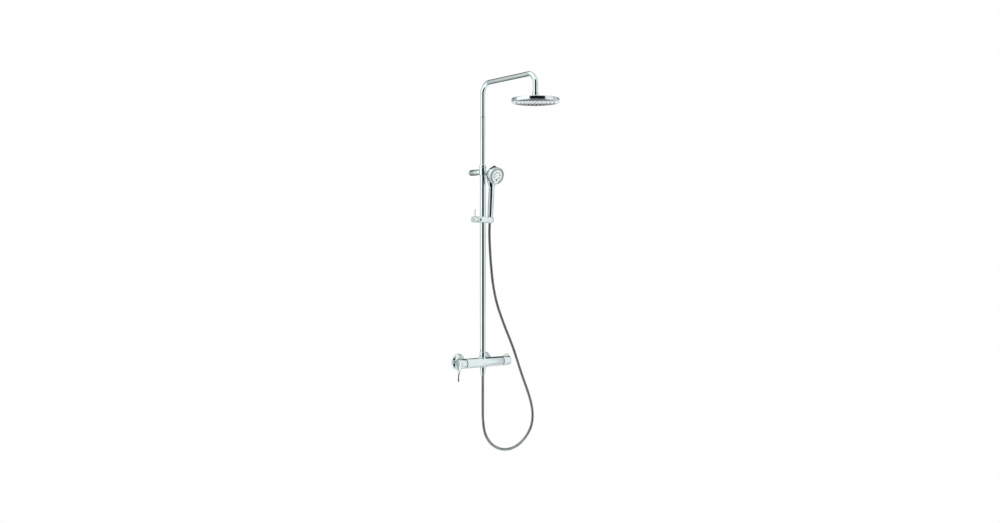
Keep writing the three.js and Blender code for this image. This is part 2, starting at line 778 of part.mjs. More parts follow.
// A bar along +X with rounded edges, as high as the slider, from its half depth.
function bar(halfDepth, start, end) {
  const across = halfDepth - BAR_EDGE;
  const up = SLIDER_HALF - BAR_EDGE;
  const section = new THREE.Shape();
  section.absarc(across, up, BAR_EDGE, 0, Math.PI / 2);
  section.absarc(-across, up, BAR_EDGE, Math.PI / 2, Math.PI);
  section.absarc(-across, -up, BAR_EDGE, Math.PI, 1.5 * Math.PI);
  section.absarc(across, -up, BAR_EDGE, 1.5 * Math.PI, 2 * Math.PI);
  return slab(section, start, end, 3).applyMatrix4(new THREE.Matrix4().makeBasis(
    new THREE.Vector3(0, 1, 0),
    new THREE.Vector3(0, 0, 1),
    new THREE.Vector3(1, 0, 0),
  ));
}

// A bar round the tube, with a stub for the clamp on one side and a spigot for the holder on the other.
function sliderBody() {
  const casting = join(
    bar(COLLAR_OUTER, -COLLAR_OUTER - 3, HOLDER_START - GAP),
    alongX(rod(SLIDER_HALF, GAP - CLAMP_START, 0)),
    alongX(rod(SPIGOT_RADIUS, 0, SPIGOT_END)),
  );
  const body = cut(
    casting,
    rod(BUSH_OUTER + GAP, -SLIDER_HALF - 1, SLIDER_HALF + 1),
    alongX(rod(SCREW_RADIUS + GAP, -CLAMP_START, 0)),
  );
  return piece("slider_body", body, CHROME);
}

function sliderBush() {
  return piece("slider_bush", ring(LOWER_TUBE_RADIUS + GAP, BUSH_OUTER, -SLIDER_HALF + 1, SLIDER_HALF - 1), PLASTIC);
}

// The knob, its pin and its screw turn together, and the screw presses on the bush.
function clampKnob() {
  const outer = turned([
    [0, -CLAMP_END],
    [SLIDER_HALF - 1.5, -CLAMP_END],
    [SLIDER_HALF, 1.5 - CLAMP_END],
    [SLIDER_HALF, -CLAMP_START],
    [0, -CLAMP_START],
  ]);
  const knob = cut(
    solid(alongX(outer)),
    alongX(rod(SCREW_RADIUS + GAP, -PIN_PLACE - 5, 1 - CLAMP_START, 16)),
    rod(2.3 + GAP, SLIDER_HALF - 5, SLIDER_HALF + 1, 12).translate(-PIN_PLACE, 0, 0),
  );
  return piece("clamp_knob", knob, CHROME);
}

function clampPin() {
  const foot = SLIDER_HALF - 5 + GAP;
  const top = SLIDER_HALF + 33;
  const pin = turned([[0, foot], [2.3, foot], [2.3, top - 0.6], [1.7, top], [0, top]], 12);
  return piece("clamp_pin", pin.translate(-PIN_PLACE, 0, 0), CHROME);
}

function clampScrew() {
  const screw = alongX(rod(SCREW_RADIUS, GAP - PIN_PLACE - 5, -BUSH_OUTER - GAP - 0.2, 16));
  return piece("clamp_screw", screw, STEEL);
}

// ---------- Holder and hand shower, in an upright frame at the holder's pivot ----------

function holderSocket() {
  const edge = (angle, sign) => [
    HOLDER_RADIUS - BAR_EDGE + BAR_EDGE * Math.cos(angle),
    sign * (SLIDER_HALF - BAR_EDGE + BAR_EDGE * Math.sin(angle)),
  ];
  const turns = [Math.PI / 2, Math.PI / 3, Math.PI / 6, 0];
  const barrel = turned([
    [0, -SLIDER_HALF],
    ...turns.map((angle) => edge(angle, -1)),
    ...turns.toReversed().map((angle) => edge(angle, 1)),
    [0, SLIDER_HALF],
  ], BODY_SIDES);
  const start = HOLDER_START - HOLDER_OFFSET;
  const socket = cut(
    join(barrel, bar(HOLDER_RADIUS, start, 0)),
    rod(HOLDER_BORE, -SLIDER_HALF - 1, SLIDER_HALF + 1),
    alongX(rod(SPIGOT_RADIUS + 0.4, start - 1, SPIGOT_END + GAP - HOLDER_OFFSET)),
  );
  return piece("holder_socket", socket, CHROME);
}

const CONE_TOP = 10.2;
const CONE_FOOT = 8.9;

// A plastic cone that the hose nut and handle rest in.
function holderLiner() {
  const outer = HOLDER_BORE - GAP;
  const profile = [
    [CONE_FOOT + 0.4, -SLIDER_HALF],
    [outer, -SLIDER_HALF],
    [outer, SLIDER_HALF],
    [CONE_TOP + 0.4, SLIDER_HALF],
    [CONE_FOOT + 0.4, -SLIDER_HALF],
  ];
  return piece("holder_liner", turned(profile), PLASTIC);
}

function hoseUpperNut() {
  const profile = [
    [HOSE_BORE, -SLIDER_HALF - 2],
    [CONE_FOOT - 0.1, -SLIDER_HALF - 2],
    [CONE_TOP, SLIDER_HALF + 1],
    [HOSE_BORE, SLIDER_HALF + 1],
    [HOSE_BORE, -SLIDER_HALF - 2],
  ];
  return piece("hose_upper_nut", turned(profile), CHROME);
}

// The spray head's own frame: +Z points back from the middle of its face, and -Y is up.
const sprayFrame = new THREE.Matrix4()
  .makeTranslation(0, -SPRAY_FORWARD, SPRAY_HEIGHT)
  .multiply(new THREE.Matrix4().makeRotationX(SPRAY_TILT - Math.PI / 2));

// Heights over the bowl's axis, at the front and back ends of the button's slanted pocket
const POCKET_FRONT = 28;
const POCKET_BACK = 47;
const FLOOR_FRONT = SPRAY_RADIUS - 5.5;
const FLOOR_BACK = SPRAY_RADIUS - 21;

// An outline in the bowl's middle plane, as [distance behind the face, height over its axis].
function onBowlTop(points, halfWidth) {
  const side = new THREE.Shape(points.map(([back, up]) => new THREE.Vector2(up, back)));
  const toBowl = new THREE.Matrix4().makeBasis(
    new THREE.Vector3(0, -1, 0),
    new THREE.Vector3(0, 0, 1),
    new THREE.Vector3(-1, 0, 0),
  );
  return slab(side, -halfWidth, halfWidth).applyMatrix4(toBowl);
}

// One moulding: a handle with a water channel that widens into a deep bowl.
function handShowerShell() {
  const low = SLIDER_HALF + 1 + GAP;
  const top = SPRAY_HEIGHT - 20;
  const handle = turned([
    [0, low],
    [HANDLE_RADIUS - 1.3, low],
    [HANDLE_RADIUS - 0.6, low + 4],
    [HANDLE_RADIUS, low + 45],
    [HANDLE_RADIUS, top - 6],
    [HANDLE_RADIUS - 4, top],
    [0, top],
  ]);
  const shoulder = turned([[0, 138], [HANDLE_RADIUS - 1, 138], [29, 184], [0, 184]]).scale(1, 0.6, 1);
  const bowl = turned([
    [0, 4],
    [SPRAY_RADIUS - 2.7, 4],
    [SPRAY_RADIUS - 2.7, 7.8],
    [SPRAY_RADIUS, 7.8],
    [SPRAY_RADIUS, 18],
    [SPRAY_RADIUS - 1.5, 30],
    [SPRAY_RADIUS - 7, 38],
    [SPRAY_RADIUS - 14, 44.5],
    [SPRAY_RADIUS - 24, 49],
    [0, SPRAY_DEPTH],
  ], BODY_SIDES).applyMatrix4(sprayFrame);
  const hollow = turned([
    [0, 3],
    [SPRAY_RADIUS - 6, 3],
    [SPRAY_RADIUS - 6, 14],
    [SPRAY_RADIUS - 7.5, 24],
    [SPRAY_RADIUS - 12.5, 32],
    [SPRAY_RADIUS - 20, 38.5],
    [0, SPRAY_DEPTH - 6],
  ], BODY_SIDES).applyMatrix4(sprayFrame);
  const channel = rod(HOSE_BORE + GAP, low - 1, top - 8);
  const pocket = onBowlTop([
    [POCKET_FRONT - GAP, FLOOR_FRONT],
    [POCKET_BACK + GAP, FLOOR_BACK],
    [POCKET_BACK + GAP, SPRAY_RADIUS + 9],
    [POCKET_FRONT - GAP, SPRAY_RADIUS + 9],
  ], 6 + GAP).applyMatrix4(sprayFrame);
  return piece("hand_shower_shell", cut(join(handle, shoulder, bowl), hollow, channel, pocket), CHROME);
}

const FACE_RADIUS = SPRAY_RADIUS - 3;
const JET_REACH = 15.5; // from the middle of the face to its jets

// Six round jets over the upper part of the face. In the spray head's frame -Y is up.
function jetPlaces() {
  return Array.from({ length: 6 }, (_, i) => {
    const angle = THREE.MathUtils.degToRad(-34 + 47.5 * i);
    return [JET_REACH * Math.cos(angle), -JET_REACH * Math.sin(angle)];
  });
}

// The seventh outlet is a wedge below the jets.
function wedge(grow) {
  const shape = new THREE.Shape();
  shape.moveTo(0, 21.5 + grow * 1.6);
  shape.lineTo(4 + grow * 1.4, 15 - grow);
  shape.lineTo(-4 - grow * 1.4, 15 - grow);
  return shape;
}

function handFacePlate() {
  const shape = circle(FACE_RADIUS, BODY_SIDES);
  for (const [x, y] of jetPlaces()) {
    const hole = circle(1.5 + GAP, 8).getPoints().slice(0, 8).map((p) => p.add(new THREE.Vector2(x, y)));
    shape.holes.push(new THREE.Path(hole));
  }
  shape.holes.push(new THREE.Path(wedge(GAP).getPoints().slice(0, 3)));
  return piece("hand_face_plate", slab(shape, -0.2, 3.6), PLASTIC);
}

function handNozzleInsert() {
  const jets = jetPlaces().map(([x, y]) => rod(1.5, -0.9, 5, 8).translate(x, y, 0));
  const insert = join(rod(FACE_RADIUS - 10, 4.1, 6.1), ...jets, slab(wedge(0), -0.9, 5));
  return piece("hand_nozzle_insert", insert, RUBBER);
}

// A grey band round the jets, open at the bottom where the handle's line runs in.
function handSprayRing() {
  const inner = FACE_RADIUS - 7;
  const outer = FACE_RADIUS - 0.5;
  const open = THREE.MathUtils.degToRad(24);
  const shape = new THREE.Shape();
  shape.absarc(0, 0, outer, Math.PI / 2 + open, Math.PI / 2 - open + 2 * Math.PI, false);
  shape.absarc(0, 0, inner, Math.PI / 2 - open + 2 * Math.PI, Math.PI / 2 + open, true);
  return piece("hand_spray_ring", slab(shape, -1.6, -0.5, 16), GREY);
}

// A chrome ring that holds the face in the bowl.
function faceTrimRing() {
  const profile = [
    [FACE_RADIUS + 0.7, -0.8],
    [SPRAY_RADIUS - 0.5, -0.8],
    [SPRAY_RADIUS + 0.3, 0.2],
    [SPRAY_RADIUS + 0.3, 7.5],
    [FACE_RADIUS + 0.7, 7.5],
    [FACE_RADIUS + 0.7, -0.8],
  ];
  return piece("face_trim_ring", turned(profile, BODY_SIDES), CHROME);
}

// The button is pressed into its pocket to change the spray, and a spring below it brings it back.
function sprayButton() {
  const rise = GAP + BUTTON_TRAVEL;
  const side = onBowlTop([
    [POCKET_FRONT, FLOOR_FRONT + rise],
    [POCKET_BACK, FLOOR_BACK + rise],
    [POCKET_BACK, SPRAY_RADIUS - 14],
    [POCKET_FRONT + 12, SPRAY_RADIUS - 5.8],
    [POCKET_FRONT + 7, SPRAY_RADIUS - 1.2],
    [POCKET_FRONT + 3, SPRAY_RADIUS + 1.7],
    [POCKET_FRONT, SPRAY_RADIUS + 1.7],
  ], 6);
  return piece("spray_button", side, BLACK);
}

function sprayHead() {
  const head = group(0, 0, 0, handFacePlate(), handNozzleInsert(), handSprayRing(), faceTrimRing(), sprayButton());
  head.applyMatrix4(sprayFrame);
  return head;
}

// ---------- Hose ----------

// The route from inside the hand shower's nut, round the hanging loop and up to the mixer's nut.
const HOSE_ROUTE = [
  [40, -2.4, 659], [40, 0, 632], [40, 2.4, 605], [40.5, 4.4, 572], [42, 4, 525], [44, 2, 470],
  [48, 0, 415], [55, 0, 360], [66, 0, 306], [82, 0, 252], [103, 0, 201], [126, 0, 151], [151, 0, 101],
  [175, 0, 51], [196, 0, 0], [217, 0, -52], [239, 0, -103], [261, 0, -153], [280, 0, -206], [289, 0, -261],
  [279, 0, -314], [246, 0, -359], [200, 0, -390], [146, 0, -402], [92, 0, -393], [45, 0, -364],
  [14, 0, -319], [2, 0, -265], [0, 0, -210], [0, 0, -154], [0, 0, -99], [0, 0, -60], [0, 0, -43],
];

function showerHose() {
  const path = new THREE.CatmullRomCurve3(
    HOSE_ROUTE.map((point) => new THREE.Vector3(...point)),
    false,
    "centripetal",
  );
  const settings = { steps: 60, bevelEnabled: false, extrudePath: path };
  return piece("shower_hose", new THREE.ExtrudeGeometry(circle(HOSE_RADIUS, 8), settings), CHROME);
}

// ---------- The whole column ----------

const mixer = group(
  0, 0, 0,
  inlet("left", -INLET_SPACING / 2),
  inlet("right", INLET_SPACING / 2),
  mixerBody(),
  bodyEnd(
    -1, BODY_LEFT,
    cartridge("mixing_cartridge", PLASTIC),
    cartridgeNut("cartridge_nut"),
    spindle("cartridge_spindle", SKIRT),
    leverHandle(),
    leverGrubScrew(),
    leverRod(),
  ),
  bodyEnd(
    1, BODY_RIGHT,
    cartridge("diverter_valve", PLASTIC),
    cartridgeNut("diverter_nut"),
    spindle("diverter_spindle", 26),
    diverterKnob(),
    diverterGrip(),
  ),
  hoseOutletNipple(),
  hoseOutletWasher(),
  hoseLowerNut(),
);

const riser = group(
  0, 0, 0,
  riserBaseCollar(), lowerRiserTube(), riserGuideBush(), upperRiserTube(), riserSeal(), jointRing(),
  armSpigot(), showerArm(),
);

const bracket = group(
  0, 0, BRACKET_HEIGHT,
  bracketClamp(), bracketTopRing(), bracketNeck(), bracketSleeve(),
  bracketWallPlate(), bracketWallScrew(), bracketGrubScrew(),
);

const rainHead = group(
  0, -ARM_REACH, BALL_HEIGHT,
  headCollar(), ballNut(), ballSeat(), headBall(), headShell(), nozzleMat(), facePlate(),
);

const holder = group(
  HOLDER_OFFSET, 0, 0,
  holderSocket(), holderLiner(), hoseUpperNut(), handShowerShell(), sprayHead(),
);
holder.rotation.x = HOLDER_LEAN;

const slider = group(
  0, 0, SLIDER_HEIGHT,
  sliderBody(), sliderBush(), clampKnob(), clampPin(), clampScrew(), holder,
);

const column = new THREE.Group();
column.add(group(0, -WALL_TO_AXIS, 0, mixer, riser, bracket, rainHead, slider, showerHose()));

export default column;
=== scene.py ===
import math

import bmesh
import bpy
from mathutils import Matrix, Vector


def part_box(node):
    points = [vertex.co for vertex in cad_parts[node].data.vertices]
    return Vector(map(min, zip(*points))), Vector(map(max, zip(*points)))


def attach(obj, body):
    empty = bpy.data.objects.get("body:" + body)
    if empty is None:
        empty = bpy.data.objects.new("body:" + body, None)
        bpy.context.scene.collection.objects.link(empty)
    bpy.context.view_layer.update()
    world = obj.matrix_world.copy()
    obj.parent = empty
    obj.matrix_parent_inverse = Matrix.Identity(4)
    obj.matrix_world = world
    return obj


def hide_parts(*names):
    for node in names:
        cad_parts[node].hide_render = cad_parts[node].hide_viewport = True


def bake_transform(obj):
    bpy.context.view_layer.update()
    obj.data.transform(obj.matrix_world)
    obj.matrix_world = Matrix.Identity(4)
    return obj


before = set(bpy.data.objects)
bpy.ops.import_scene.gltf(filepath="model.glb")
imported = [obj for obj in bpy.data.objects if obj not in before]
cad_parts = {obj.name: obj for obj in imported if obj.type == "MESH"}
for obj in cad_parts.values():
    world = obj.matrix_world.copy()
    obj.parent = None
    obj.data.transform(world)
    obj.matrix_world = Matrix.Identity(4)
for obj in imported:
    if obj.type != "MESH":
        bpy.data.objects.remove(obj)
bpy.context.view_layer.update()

scene = bpy.context.scene


# ---------- Camera ----------
# A camera in front of the column and off to its left, about four and a half metres away.
# It is held level, so the tubes stand upright and parallel in its view.
camera = bpy.data.objects.new("camera", bpy.data.cameras.new("camera"))
camera.data.lens = 36.9
camera.data.shift_y = -0.0055
camera.data.clip_end = 60
camera.location = (-2.7633, -3.6943, 0.471)
camera.rotation_euler = (math.radians(90), 0, math.radians(-38.4))
scene.collection.objects.link(camera)
scene.camera = camera


# ---------- Hose ----------
# A hanging hose of interlocked chromed steel strip, from the hand shower's nut to the mixer's.
# It is made as two stretches, a long one and a short top one by the holder.
# All the metal, plastic and rubber here shares the surface_wear group: cloudy wear and fine grain.
HOSE_DIAMETER = 0.012
HOSE_TOP_STRETCH = 0.08
HOSE_PITCH = 0.0042
HOSE_STRIP = (1, 0.995, 0.955, 0.995)
HOSE_ROUTE = [
    (0.04, -0.0024, 0.659), (0.04, 0, 0.632), (0.04, 0.0024, 0.605), (0.0405, 0.0044, 0.572),
    (0.042, 0.004, 0.525), (0.044, 0.002, 0.47), (0.048, 0, 0.415), (0.055, 0, 0.36), (0.066, 0, 0.306),
    (0.082, 0, 0.252), (0.103, 0, 0.201), (0.126, 0, 0.151), (0.151, 0, 0.101), (0.175, 0, 0.051),
    (0.196, 0, 0), (0.217, 0, -0.052), (0.239, 0, -0.103), (0.261, 0, -0.153), (0.28, 0, -0.206),
    (0.289, 0, -0.261), (0.279, 0, -0.314), (0.246, 0, -0.359), (0.2, 0, -0.39), (0.146, 0, -0.402),
    (0.092, 0, -0.393), (0.045, 0, -0.364), (0.014, 0, -0.319), (0.002, 0, -0.265), (0, 0, -0.21),
    (0, 0, -0.154), (0, 0, -0.099), (0, 0, -0.06), (0, 0, -0.043),
]
riser_low, riser_high = (Vector(c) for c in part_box("lower_riser_tube"))
riser_axis = (riser_low + riser_high) / 2
riser_axis.z = 0


def along_route(route, step):
    """Evenly spaced points on a centripetal spline through a route."""
    points = [riser_axis + Vector(p) for p in route]
    ends = [points[0] * 2 - points[1]] + points + [points[-1] * 2 - points[-2]]
    fine = []
    for i in range(len(points) - 1):
        a, b, c, d = ends[i:i + 4]
        t0, t1 = 0, (b - a).length ** 0.5
        t2 = t1 + (c - b).length ** 0.5
        t3 = t2 + (d - c).length ** 0.5
        for k in range(40):
            t = t1 + (t2 - t1) * k / 40
            ab = a * ((t1 - t) / (t1 - t0)) + b * ((t - t0) / (t1 - t0))
            bc = b * ((t2 - t) / (t2 - t1)) + c * ((t - t1) / (t2 - t1))
            cd = c * ((t3 - t) / (t3 - t2)) + d * ((t - t2) / (t3 - t2))
            abc = ab * ((t2 - t) / (t2 - t0)) + bc * ((t - t0) / (t2 - t0))
            bcd = bc * ((t3 - t) / (t3 - t1)) + cd * ((t - t1) / (t3 - t1))
            fine.append(abc * ((t2 - t) / (t2 - t1)) + bcd * ((t - t1) / (t2 - t1)))
    fine.append(points[-1])
    reached = [0]
    for a, b in zip(fine, fine[1:]):
        reached.append(reached[-1] + (b - a).length)
    total = reached[-1]
    count = round(total / step)
    spaced = []
    k = 0
    for i in range(count + 1):
        goal = min(total * i / count, total - 1e-9)
        while reached[k + 1] < goal:
            k += 1
        share = (goal - reached[k]) / (reached[k + 1] - reached[k])
        spaced.append(fine[k].lerp(fine[k + 1], share))
    return spaced, total


def add_tube(mesh, path, radii, sides=32):
    """Adds a closed tube along points in metres, with one radius in metres for each point."""
    side = None
    rings = []
    for i, point in enumerate(path):
        ahead = (path[min(i + 1, len(path) - 1)] - path[max(i - 1, 0)]).normalized()
        if side is None:
            side = ahead.orthogonal().normalized()
        side = (side - ahead * side.dot(ahead)).normalized()
        other = ahead.cross(side)
        ring = []
        for k in range(sides):
            angle = 2 * math.pi * k / sides
            spoke = side * math.cos(angle) + other * math.sin(angle)
            ring.append(mesh.verts.new(point + spoke * radii[i]))
        rings.append(ring)
    for low, high in zip(rings, rings[1:]):
        for k in range(sides):
            j = (k + 1) % sides
            mesh.faces.new((low[k], low[j], high[j], high[k]))
    mesh.faces.new(list(reversed(rings[0])))
    mesh.faces.new(rings[-1])


def finished(name, mesh, material, body, *nodes, sharp=35):
    """Turns a bmesh into a smooth-shaded piece that rides on a body and stands for its CAD nodes."""
    bmesh.ops.recalc_face_normals(mesh, faces=mesh.faces)
    data = bpy.data.meshes.new(name)
    mesh.to_mesh(data)
    mesh.free()
    piece = bpy.data.objects.new(name, data)
    scene.collection.objects.link(piece)
    data.materials.append(material)
    for face in data.polygons:
        face.use_smooth = True
    data.set_sharp_from_angle(angle=math.radians(sharp))
    if body:
        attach(piece, body)
    if nodes:
        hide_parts(*nodes)
    return piece


def linked(tree, kind, **settings):
    """A new shader node in a tree, with its settings."""
    node = tree.nodes.new(kind)
    for key, value in settings.items():
        setattr(node, key, value)
    return node


wear = bpy.data.node_groups.new("surface_wear", "ShaderNodeTree")
for socket, start in (("Cloud Scale", 14), ("Grain Scale", 900), ("Bump", 0.02)):
    made = wear.interface.new_socket(socket, in_out="INPUT", socket_type="NodeSocketFloat")
    made.default_value = start
wear.interface.new_socket("Cloud", in_out="OUTPUT", socket_type="NodeSocketFloat")
wear.interface.new_socket("Grain", in_out="OUTPUT", socket_type="NodeSocketFloat")
wear.interface.new_socket("Normal", in_out="OUTPUT", socket_type="NodeSocketVector")
wear_in = linked(wear, "NodeGroupInput")
wear_out = linked(wear, "NodeGroupOutput")
wear_place = linked(wear, "ShaderNodeTexCoord")
cloud = linked(wear, "ShaderNodeTexNoise")
cloud.inputs["Detail"].default_value = 5
cloud.inputs["Roughness"].default_value = 0.6
cloud_range = linked(wear, "ShaderNodeMapRange")
cloud_range.inputs["From Min"].default_value = 0.38
cloud_range.inputs["From Max"].default_value = 0.68
grain = linked(wear, "ShaderNodeTexNoise")
grain.inputs["Detail"].default_value = 3
bump = linked(wear, "ShaderNodeBump")
bump.inputs["Distance"].default_value = 0.0004
for start, end in [
    (wear_place.outputs["Object"], cloud.inputs["Vector"]),
    (wear_place.outputs["Object"], grain.inputs["Vector"]),
    (wear_in.outputs["Cloud Scale"], cloud.inputs["Scale"]),
    (wear_in.outputs["Grain Scale"], grain.inputs["Scale"]),
    (wear_in.outputs["Bump"], bump.inputs["Strength"]),
    (cloud.outputs["Fac"], cloud_range.inputs["Value"]),
    (grain.outputs["Fac"], bump.inputs["Height"]),
    (cloud_range.outputs["Result"], wear_out.inputs["Cloud"]),
    (grain.outputs["Fac"], wear_out.inputs["Grain"]),
    (bump.outputs["Normal"], wear_out.inputs["Normal"]),
]:
    wear.links.new(start, end)


def finish_material(
    name, clean, worn, smooth, rough, metallic=0.0, clouds=14, grains=900, uneven=0.02, gloss=0.5
):
    """A material whose colour and roughness drift between two values with the wear."""
    material = bpy.data.materials.new(name)
    material.use_nodes = True
    tree = material.node_tree
    shader = tree.nodes["Principled BSDF"]
    shader.inputs["Metallic"].default_value = metallic
    shader.inputs["Specular IOR Level"].default_value = gloss
    effect = linked(tree, "ShaderNodeGroup", node_tree=wear)
    effect.inputs["Cloud Scale"].default_value = clouds
    effect.inputs["Grain Scale"].default_value = grains
    effect.inputs["Bump"].default_value = uneven
    colour = linked(tree, "ShaderNodeMix", data_type="RGBA")
    colour.inputs["A"].default_value = (*clean, 1)
    colour.inputs["B"].default_value = (*worn, 1)
    sheen = linked(tree, "ShaderNodeMapRange")
    sheen.inputs["To Min"].default_value = smooth
    sheen.inputs["To Max"].default_value = rough
    tree.links.new(effect.outputs["Cloud"], colour.inputs["Factor"])
    tree.links.new(colour.outputs["Result"], shader.inputs["Base Color"])
    tree.links.new(effect.outputs["Cloud"], sheen.inputs["Value"])
    tree.links.new(sheen.outputs["Result"], shader.inputs["Roughness"])
    tree.links.new(effect.outputs["Normal"], shader.inputs["Normal"])
    return material


# The hose and the finger rod are chromed; this steel's darkened base colour paints in the dark
# reflections they show.
steel_with_painted_dark_reflection = finish_material(
    "steel_with_painted_dark_reflection", (0.3, 0.33, 0.33), (0.21, 0.235, 0.235),
    0.16, 0.3, metallic=1.0, clouds=30, uneven=0.06,
)
hose_line, hose_length = along_route(HOSE_ROUTE, HOSE_PITCH / len(HOSE_STRIP))
hose_split = round(HOSE_TOP_STRETCH / hose_length * (len(hose_line) - 1))


def add_hose(name, start, end):
    """One stretch of the hose, with its crests and grooves carried on from the stretch before."""
    line = hose_line[start:end + 1]
    radii = [HOSE_DIAMETER / 2 * HOSE_STRIP[i % 4] for i in range(start, end + 1)]
    mesh = bmesh.new()
    add_tube(mesh, line, radii, sides=20)
    stretch = finished(name, mesh, steel_with_painted_dark_reflection, None, "shower_hose", sharp=80)
    list(line[-1])
    [list(p) for p in reversed(line)]
    return stretch


hose = add_hose("shower_hose_interlocked", hose_split, len(hose_line) - 1)
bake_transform(hose)
hose_top = add_hose("shower_hose_top_stretch", 0, hose_split)
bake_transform(hose_top)


# ---------- Wall inlets ----------
# Two pressed chrome rosettes, with hexagon nuts that pull the mixer's tails onto brass unions
# through a rubber gasket. Each round piece is a profile turned about its axis, its corners broken;
# a profile is a list of (radius, distance along the axis) in millimetres.
UP = Vector((0, 0, 1))
LEFT = Vector((-1, 0, 0))
RIGHT = Vector((1, 0, 0))
TO_ROOM = Vector((0, -1, 0))
TO_WALL = Vector((0, 1, 0))


def softened(profile, radius, closed):
    """The same profile with each corner replaced by three points on a small arc."""
    points = [Vector(p) for p in profile]
    made = []
    for i, corner in enumerate(points):
        if not closed and i in (0, len(points) - 1):
            made.append(corner)
            continue
        before = points[i - 1] - corner
        after = points[(i + 1) % len(points)] - corner
        straight = before.angle(after) > math.radians(172)
        reach = min(radius, before.length * 0.4, after.length * 0.4)
        if straight or reach < 0.02:
            made.append(corner)
            continue
        start = corner + before.normalized() * reach
        end = corner + after.normalized() * reach
        made += [start, corner * 0.5 + (start + end) * 0.25, end]
    return made


def add_turned(mesh, profile, place, soft=0.4, sides=96):
    """Adds a turned solid. A profile that starts and ends on the axis is open, others close."""
    closed = profile[0][0] > 0.001
    points = softened(profile, soft, closed)
    rings = []
    for radius, along in points:
        if radius < 0.001:
            rings.append([mesh.verts.new(place @ Vector((0, 0, along * 0.001)))])
            continue
        ring = []
        for i in range(sides):
            angle = 2 * math.pi * i / sides
            spot = Vector((radius * math.cos(angle), radius * math.sin(angle), along)) * 0.001
            ring.append(mesh.verts.new(place @ spot))
        rings.append(ring)
    after = rings[1:] + rings[:1] if closed else rings[1:]
    for low, high in zip(rings, after):
        for i in range(sides):
            j = (i + 1) % sides
            if len(low) == 1 and len(high) == 1:
                continue
            if len(low) == 1:
                mesh.faces.new((low[0], high[j], high[i]))
            elif len(high) == 1:
                mesh.faces.new((low[i], low[j], high[0]))
            else:
                mesh.faces.new((low[i], low[j], high[j], high[i]))


def place_at(origin, axis):
    """A matrix that takes +Z to the axis, at an origin in metres."""
    return Matrix.Translation(origin) @ UP.rotation_difference(axis).to_matrix().to_4x4()


def foot_of(node, axis):
    """The middle of the end where a node's box starts along an axis."""
    low, high = (Vector(corner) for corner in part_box(node))
    length = sum(abs(a) * s for a, s in zip(axis, high - low))
    return (low + high) / 2 - axis * length / 2


def turn(name, node, axis, profile, material, body, soft=0.4, sides=96):
    """One turned piece in its CAD node's place, measured from where the node starts along the axis."""
    mesh = bmesh.new()
    add_turned(mesh, profile, place_at(foot_of(node, axis), axis), soft, sides)
    return finished(name, mesh, material, body, node)


chrome = finish_material(
    "polished_chrome", (0.76, 0.86, 0.855), (0.7, 0.8, 0.795),
    0.03, 0.07, metallic=1.0, uneven=0.012,
)
brass = finish_material(
    "machined_brass", (0.72, 0.56, 0.28), (0.56, 0.41, 0.19),
    0.22, 0.4, metallic=1.0, grains=400, uneven=0.1,
)
rubber = finish_material(
    "black_rubber", (0.008, 0.01, 0.01), (0.025, 0.028, 0.028),
    0.55, 0.8, grains=1200, uneven=0.2, gloss=0.2,
)
NUT_FLAT = 0.0147
for side in ("left", "right"):
    turn(
        f"{side}_rosette", f"{side}_wall_rosette", TO_ROOM,
        [(36, 0), (36, 2.6), (35.2, 4.6), (33, 7.6), (29, 9.6), (23, 11.6), (18, 12.7), (13.6, 13)]
        + [(13.6, 11), (18, 10.8), (22.5, 9.8), (28, 7.8), (31.2, 6), (33.4, 2.5), (33.4, 0)],
        chrome, "root", soft=0.3,
    )
    turn(
        f"{side}_union", f"{side}_wall_union", TO_WALL,
        [(6.5, 0), (13.2, 0), (13.2, 29), (10.45, 29)]
        + [(10.45 - 0.9 * (i % 2), 29.6 + 1.1 * i) for i in range(22)]
        + [(9.4, 54), (6.5, 54)],
        brass, "root", soft=0.15,
    )
    turn(
        f"{side}_gasket", f"{side}_inlet_gasket", TO_WALL,
        [(7, 0), (12.8, 0), (12.8, 1.4), (7, 1.4)], rubber, "root", soft=0.3,
    )
    place = place_at(foot_of(f"{side}_union_nut", TO_WALL), TO_WALL)
    place = place @ Matrix.Rotation(math.pi / 6, 4, "Z")
    mesh = bmesh.new()
    add_turned(
        mesh,
        [(11.3, 0), (15.2, 0), (16.9, 1), (16.9, 25.3), (15.2, 26.3)]
        + [(13.6, 26.3), (13.6, 4), (11.3, 4)],
        place, soft=0.3, sides=6 * 16,
    )
    # Six flats: whatever of the round blank lies beyond a flat is drawn in to it.
    for vertex in mesh.verts:
        spot = place.inverted() @ vertex.co
        reach = spot.xy.length
        sector = (math.atan2(spot.y, spot.x) % (math.pi / 3)) - math.pi / 6
        flat = NUT_FLAT / math.cos(sector)
        if reach > flat:
            spot.xy *= flat / reach
            vertex.co = place @ spot
    finished(f"{side}_nut", mesh, chrome, "root", f"{side}_union_nut", sharp=25)


# ---------- Mixer body ----------
# One polished brass casting: a bar with two flared inlet tails, the riser's seat above and the
# hose's socket below. Its ends are bored for the two cartridges.
body_low, body_high = (Vector(c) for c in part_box("mixer_body"))
body_axis = Vector((0, riser_axis.y, 0))
left_end = body_axis + Vector((body_low.x, 0, 0))
right_end = body_axis + Vector((body_high.x, 0, 0))
INLET_REACH = 0.075
BORE_DEPTH = 40
low_end = body_low.x * 1000
high_end = body_high.x * 1000
mesh = bmesh.new()
add_turned(
    mesh,
    [(17, low_end), (21, low_end), (21, high_end), (17, high_end)]
    + [(17, high_end - BORE_DEPTH), (6.5, high_end - BORE_DEPTH)]
    + [(6.5, low_end + BORE_DEPTH), (17, low_end + BORE_DEPTH)],
    place_at(body_axis, RIGHT), soft=0.7, sides=128,
)
for x in (-INLET_REACH, INLET_REACH):
    add_turned(
        mesh,
        [(6.5, 12), (13.5, 18.2), (11.6, 20.6), (11, 23), (11, 44), (12.8, 45), (12.8, 47), (6.5, 47)],
        place_at(body_axis + Vector((x, 0, 0)), TO_WALL),
    )
riser_seat = [(8, 12), (15.5, 15), (14, 20.2), (13.2, 21.4), (13, 23), (8, 23)]
